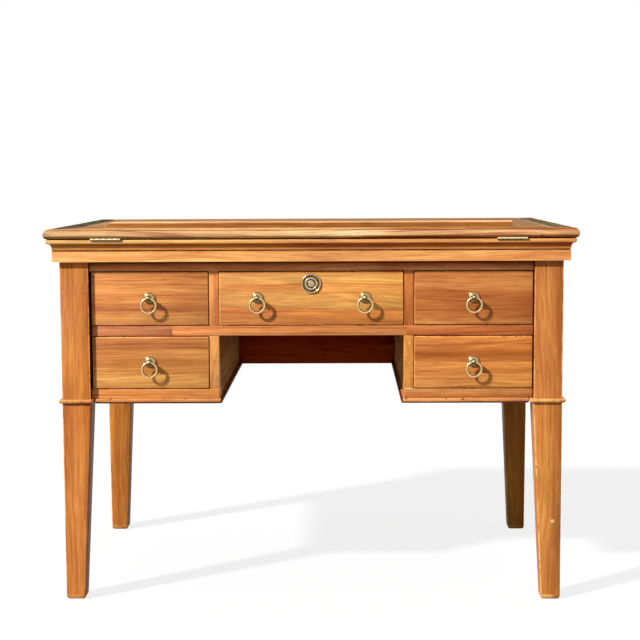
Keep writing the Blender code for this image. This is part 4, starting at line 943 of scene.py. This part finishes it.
# browns for patina in the fittings' hollows, and for painted shade on their lower and inner sides
NECK_BROWN = 0.75
FOOT_BROWN = 0.55
HOLLOW_AND_SHADE_BROWN = 0.85
PLUG_FACE = 0.0070  # the plug is brown beyond this radius
OUT_OF_FRONT = Matrix(((1, 0, 0, 0), (0, 0, -1, 0), (0, 1, 0, 0), (0, 0, 0, 1)))


def curve(centre, radii, start, stop, count):
    """Points on an arc of a profile, between two angles in degrees."""
    steps = [math.radians(start + (stop - start) * index / count) for index in range(count + 1)]
    return [(centre[0] + radii[0] * math.cos(turn), centre[1] + radii[1] * math.sin(turn)) for turn in steps]


def turned(profile, closed=False):
    """A profile of radius and height turned about the local Z axis."""
    bm = bmesh.new()
    points = [bm.verts.new((radius, 0.0, height)) for radius, height in profile]
    for first, second in zip(points, points[1:]):
        bm.edges.new((first, second))
    if closed:
        bm.edges.new((points[-1], points[0]))
    bmesh.ops.spin(bm, geom=bm.verts[:] + bm.edges[:], cent=(0, 0, 0), axis=(0, 0, 1), dvec=(0, 0, 0),
                   angle=math.tau, steps=TURNED_STEPS, use_merge=True, use_duplicate=False)
    bmesh.ops.remove_doubles(bm, verts=bm.verts, dist=TURNED_WELD)
    bmesh.ops.recalc_face_normals(bm, faces=bm.faces)
    return bm


def worked(bm, tool, operation="DIFFERENCE"):
    """One bmesh cut by another, or joined to it."""
    pair = [linked("working", mesh_of("working", part)) for part in (bm, tool)]
    cut = pair[0].modifiers.new("work", "BOOLEAN")
    cut.object = pair[1]
    cut.operation = operation
    cut.solver = "EXACT"
    shaped = pair[0].evaluated_get(bpy.context.evaluated_depsgraph_get())
    result = bmesh.new()
    result.from_mesh(shaped.to_mesh())
    shaped.to_mesh_clear()
    for working in pair:
        mesh = working.data
        bpy.data.objects.remove(working)
        bpy.data.meshes.remove(mesh)
    return result


def fitting(name, bm, node, place, finish, dull):
    """A turned fitting put in its place. A rule gives its patina and painted shade at a radius, a height out
    of the front and a level up or down."""
    hollow = bm.verts.layers.float.new("hollow")
    for vert in bm.verts:
        vert[hollow] = dull(math.hypot(vert.co.x, vert.co.y), vert.co.z, vert.co.y)
    bmesh.ops.transform(bm, matrix=Matrix.Translation(place) @ OUT_OF_FRONT, verts=bm.verts)
    finished(name, bm, finish, node)


ROSETTE = (curve((0.0, PULL_STANDOFF), (EYE_RADIUS, EYE_RADIUS), 90, -52, 14)
           + [(0.0037, 0.0100), (0.0036, 0.0092)]
           + curve((0.0044, 0.0078), (0.0012, 0.0010), 80, -70, 5)
           + [(0.0046, 0.0064)]
           + curve((0.0046, 0.0020), (0.0062, 0.0040), 84, 8, 7)
           + [(0.0110, 0.0019)]
           + curve((0.0114, 0.0012), (0.0010, 0.0010), 95, 0, 5)
           + [(0.0124, 0.0), (0.0, 0.0)])
ROSETTE[0] = (0.0, PULL_STANDOFF + EYE_RADIUS)


def rosette_dull(radius, height, level):
    """Painted shade under the eye and low on the rosette; patina round its neck and at the foot of the dome.
    """
    under_eye = height > 0.009 and level < 0.0012
    neck = radius < 0.0062 and height < 0.012
    foot = 0.0100 < radius < 0.0113 or level < -0.005
    if under_eye or neck:
        return NECK_BROWN
    return FOOT_BROWN if foot else 0.0


def ring_dull(radius, height, _level):
    """Painted shade on the inner side and the back of a ring."""
    inner = radius < RING_RADIUS - 0.0012
    back = height < -0.0010
    return HOLLOW_AND_SHADE_BROWN if inner or back else 0.0


def escutcheon_dull(radius, height, _level):
    """Brown in the dish of the escutcheon and down its barrel."""
    dish = 0.0136 < radius < 0.0176
    barrel = height < 0.0012
    return HOLLOW_AND_SHADE_BROWN if dish or barrel else 0.0


def plug_dull(radius, _height, _level):
    """Brown round the face of the key plug."""
    return 1.0 if radius > PLUG_FACE else 0.0


for pull in PULLS:
    middle = middle_of("pull_rosette_" + pull)
    seat = Vector((middle.x, SEAT_Y, middle.z))
    bore = rod(EYE_BORE, BORE_LENGTH, 32, "Y", UP * PULL_STANDOFF)
    fitting("rosette_" + pull, worked(turned(ROSETTE), bore), "pull_rosette_" + pull, seat, OLD_BRASS,
            rosette_dull)
    wire = curve((RING_RADIUS, 0.0), (RING_WIRE, RING_WIRE), 0, 345, 23)
    hung = seat + Vector((0.0, -PULL_STANDOFF, -RING_RADIUS))
    fitting("ring_" + pull, turned(wire, closed=True), "pull_ring_" + pull, hung, RING_BRASS, ring_dull)

ESCUTCHEON = ([(0.0094, LOCK_BACK), (0.0094, 0.0026)]
              + curve((0.0101, 0.0026), (0.0007, 0.0007), 180, 90, 3)
              + curve((0.0122, 0.0016), (0.0013, 0.0016), 90, 8, 5)
              + [(0.0139, 0.0014), (0.0172, 0.0013)]
              + curve((0.0191, 0.0014), (0.0016, 0.0018), 176, 4, 9)
              + [(0.0207, 0.0010), (0.0207, 0.0), (0.0112, 0.0), (0.0112, LOCK_BACK)])
fitting("escutcheon", turned(ESCUTCHEON, closed=True), "lock_escutcheon", (0.0, SEAT_Y, LOCK_Z), LOCK_BRASS,
        escutcheon_dull)
PLUG = ([(0.0, 0.0044)] + curve((0.0045, 0.0030), (0.0029, 0.0012), 90, 0, 6)
        + [(0.0075, 0.0019), (0.0091, 0.0018), (0.0091, LOCK_BACK - CAM_THICKNESS),
           (0.0, LOCK_BACK - CAM_THICKNESS)])
plug = worked(turned(PLUG), cube(KEY_SLOT, (0.0, 0.0, 0.0044)))
cam_thickness = CAM_THICKNESS - CAM_SEAT
cam = cube((CAM_REACH, 2 * CAM_HALF, cam_thickness),
           (CAM_REACH / 2, 0.0, LOCK_BACK - CAM_SEAT - cam_thickness / 2))
fitting("key_plug", worked(plug, cam, "UNION"), "lock_plug", (0.0, SEAT_Y, LOCK_Z), LOCK_BRASS,
        plug_dull)
for node in NODES:
    if node.startswith("hinge_"):
        bm = merged(node)
        ease(bm, HINGE_EASING)
        hollow = bm.verts.layers.float.new("hollow")
        for vert in bm.verts:
            vert[hollow] = HINGE_BROWN if vert.co.z < HINGE_SHADE_Z else 0.0
        finished(node + "_brass", bm, HINGE_BRASS, node)


# Floor, light and camera
FLOOR_HALF = 30.0
FLOOR_BOUNCE = 0.28  # what the floor gives back to the desk
FLOOR_SHADE = 0.95  # what the camera sees of it under the veil
FLOOR_VEIL = 0.82  # how far the camera sees the floor as plain white
SUN_FROM = Vector((-1.31, -1.0, 1.12))
SUN_STRENGTH = 4.4
SUN_ANGLE = math.radians(4)
SKY_STRENGTH = 0.36

bm = bmesh.new()
bmesh.ops.create_grid(bm, x_segments=1, y_segments=1, size=FLOOR_HALF)
floor = linked("studio_floor", mesh_of("studio_floor", bm))


def seen_rays(tree):
    """One for rays that show the background: straight, mirrored or through glass."""
    path = add(tree, "ShaderNodeLightPath").outputs
    seen = sums(tree, "MAXIMUM", path["Is Camera Ray"], path["Is Glossy Ray"])
    return sums(tree, "MAXIMUM", seen, path["Is Transmission Ray"])


pale_floor, tree, shader, _ = blank_material("pale_floor")
seen = seen_rays(tree)
shades = [(shade, shade, shade, 1.0) for shade in (FLOOR_BOUNCE, FLOOR_SHADE)]
feed(tree, shader, {"Base Color": blended(tree, seen, *shades), "Roughness": 1.0, "Specular IOR Level": 0.0})
veil = add(tree, "ShaderNodeEmission", {"Color": (1.0, 1.0, 1.0, 1.0), "Strength": 1.0})
mixed = add(tree, "ShaderNodeMixShader", {0: product(tree, seen, FLOOR_VEIL),
                                          1: shader.outputs[0], 2: veil.outputs[0]})
feed(tree, tree.nodes["Material Output"], {"Surface": mixed.outputs[0]})
floor.data.materials.append(pale_floor)

world = bpy.data.worlds.new("studio")
bpy.context.scene.world = world
world.use_nodes = True
tree = world.node_tree
sky_strength = stretch(tree, seen_rays(tree), 0.0, 1.0, SKY_STRENGTH, 1.0)
feed(tree, tree.nodes["Background"], {"Color": (*PLAIN, 1.0), "Strength": sky_strength})

sun_data = bpy.data.lights.new("key_light", "SUN")
sun_data.energy = SUN_STRENGTH
sun_data.angle = SUN_ANGLE
linked("key_light", sun_data).rotation_euler = (-SUN_FROM).to_track_quat("-Z", "Y").to_euler()

CAMERA_PLACE = Vector((0.0664, -3.2839, 0.8945))
CAMERA_YAW = math.radians(0.929)
CAMERA_PITCH = math.radians(5.779)
CAMERA_ROLL = math.radians(-0.263)
FOCAL_PIXELS = 1434.6
FRAME_PIXELS = 640
SENSOR = 36.0
CLIP_END = 200.0

aim = (Matrix.Rotation(CAMERA_YAW, 4, "Z") @ Matrix.Rotation(math.pi / 2 - CAMERA_PITCH, 4, "X")
       @ Matrix.Rotation(CAMERA_ROLL, 4, "Z"))
camera_data = bpy.data.cameras.new("camera")
camera_data.sensor_fit = "HORIZONTAL"
camera_data.sensor_width = SENSOR
camera_data.lens = FOCAL_PIXELS / FRAME_PIXELS * SENSOR
camera_data.clip_end = CLIP_END
camera = linked("camera", camera_data)
camera.matrix_world = Matrix.Translation(CAMERA_PLACE) @ aim
bpy.context.scene.camera = camera
bpy.context.scene.view_settings.view_transform = "Standard"
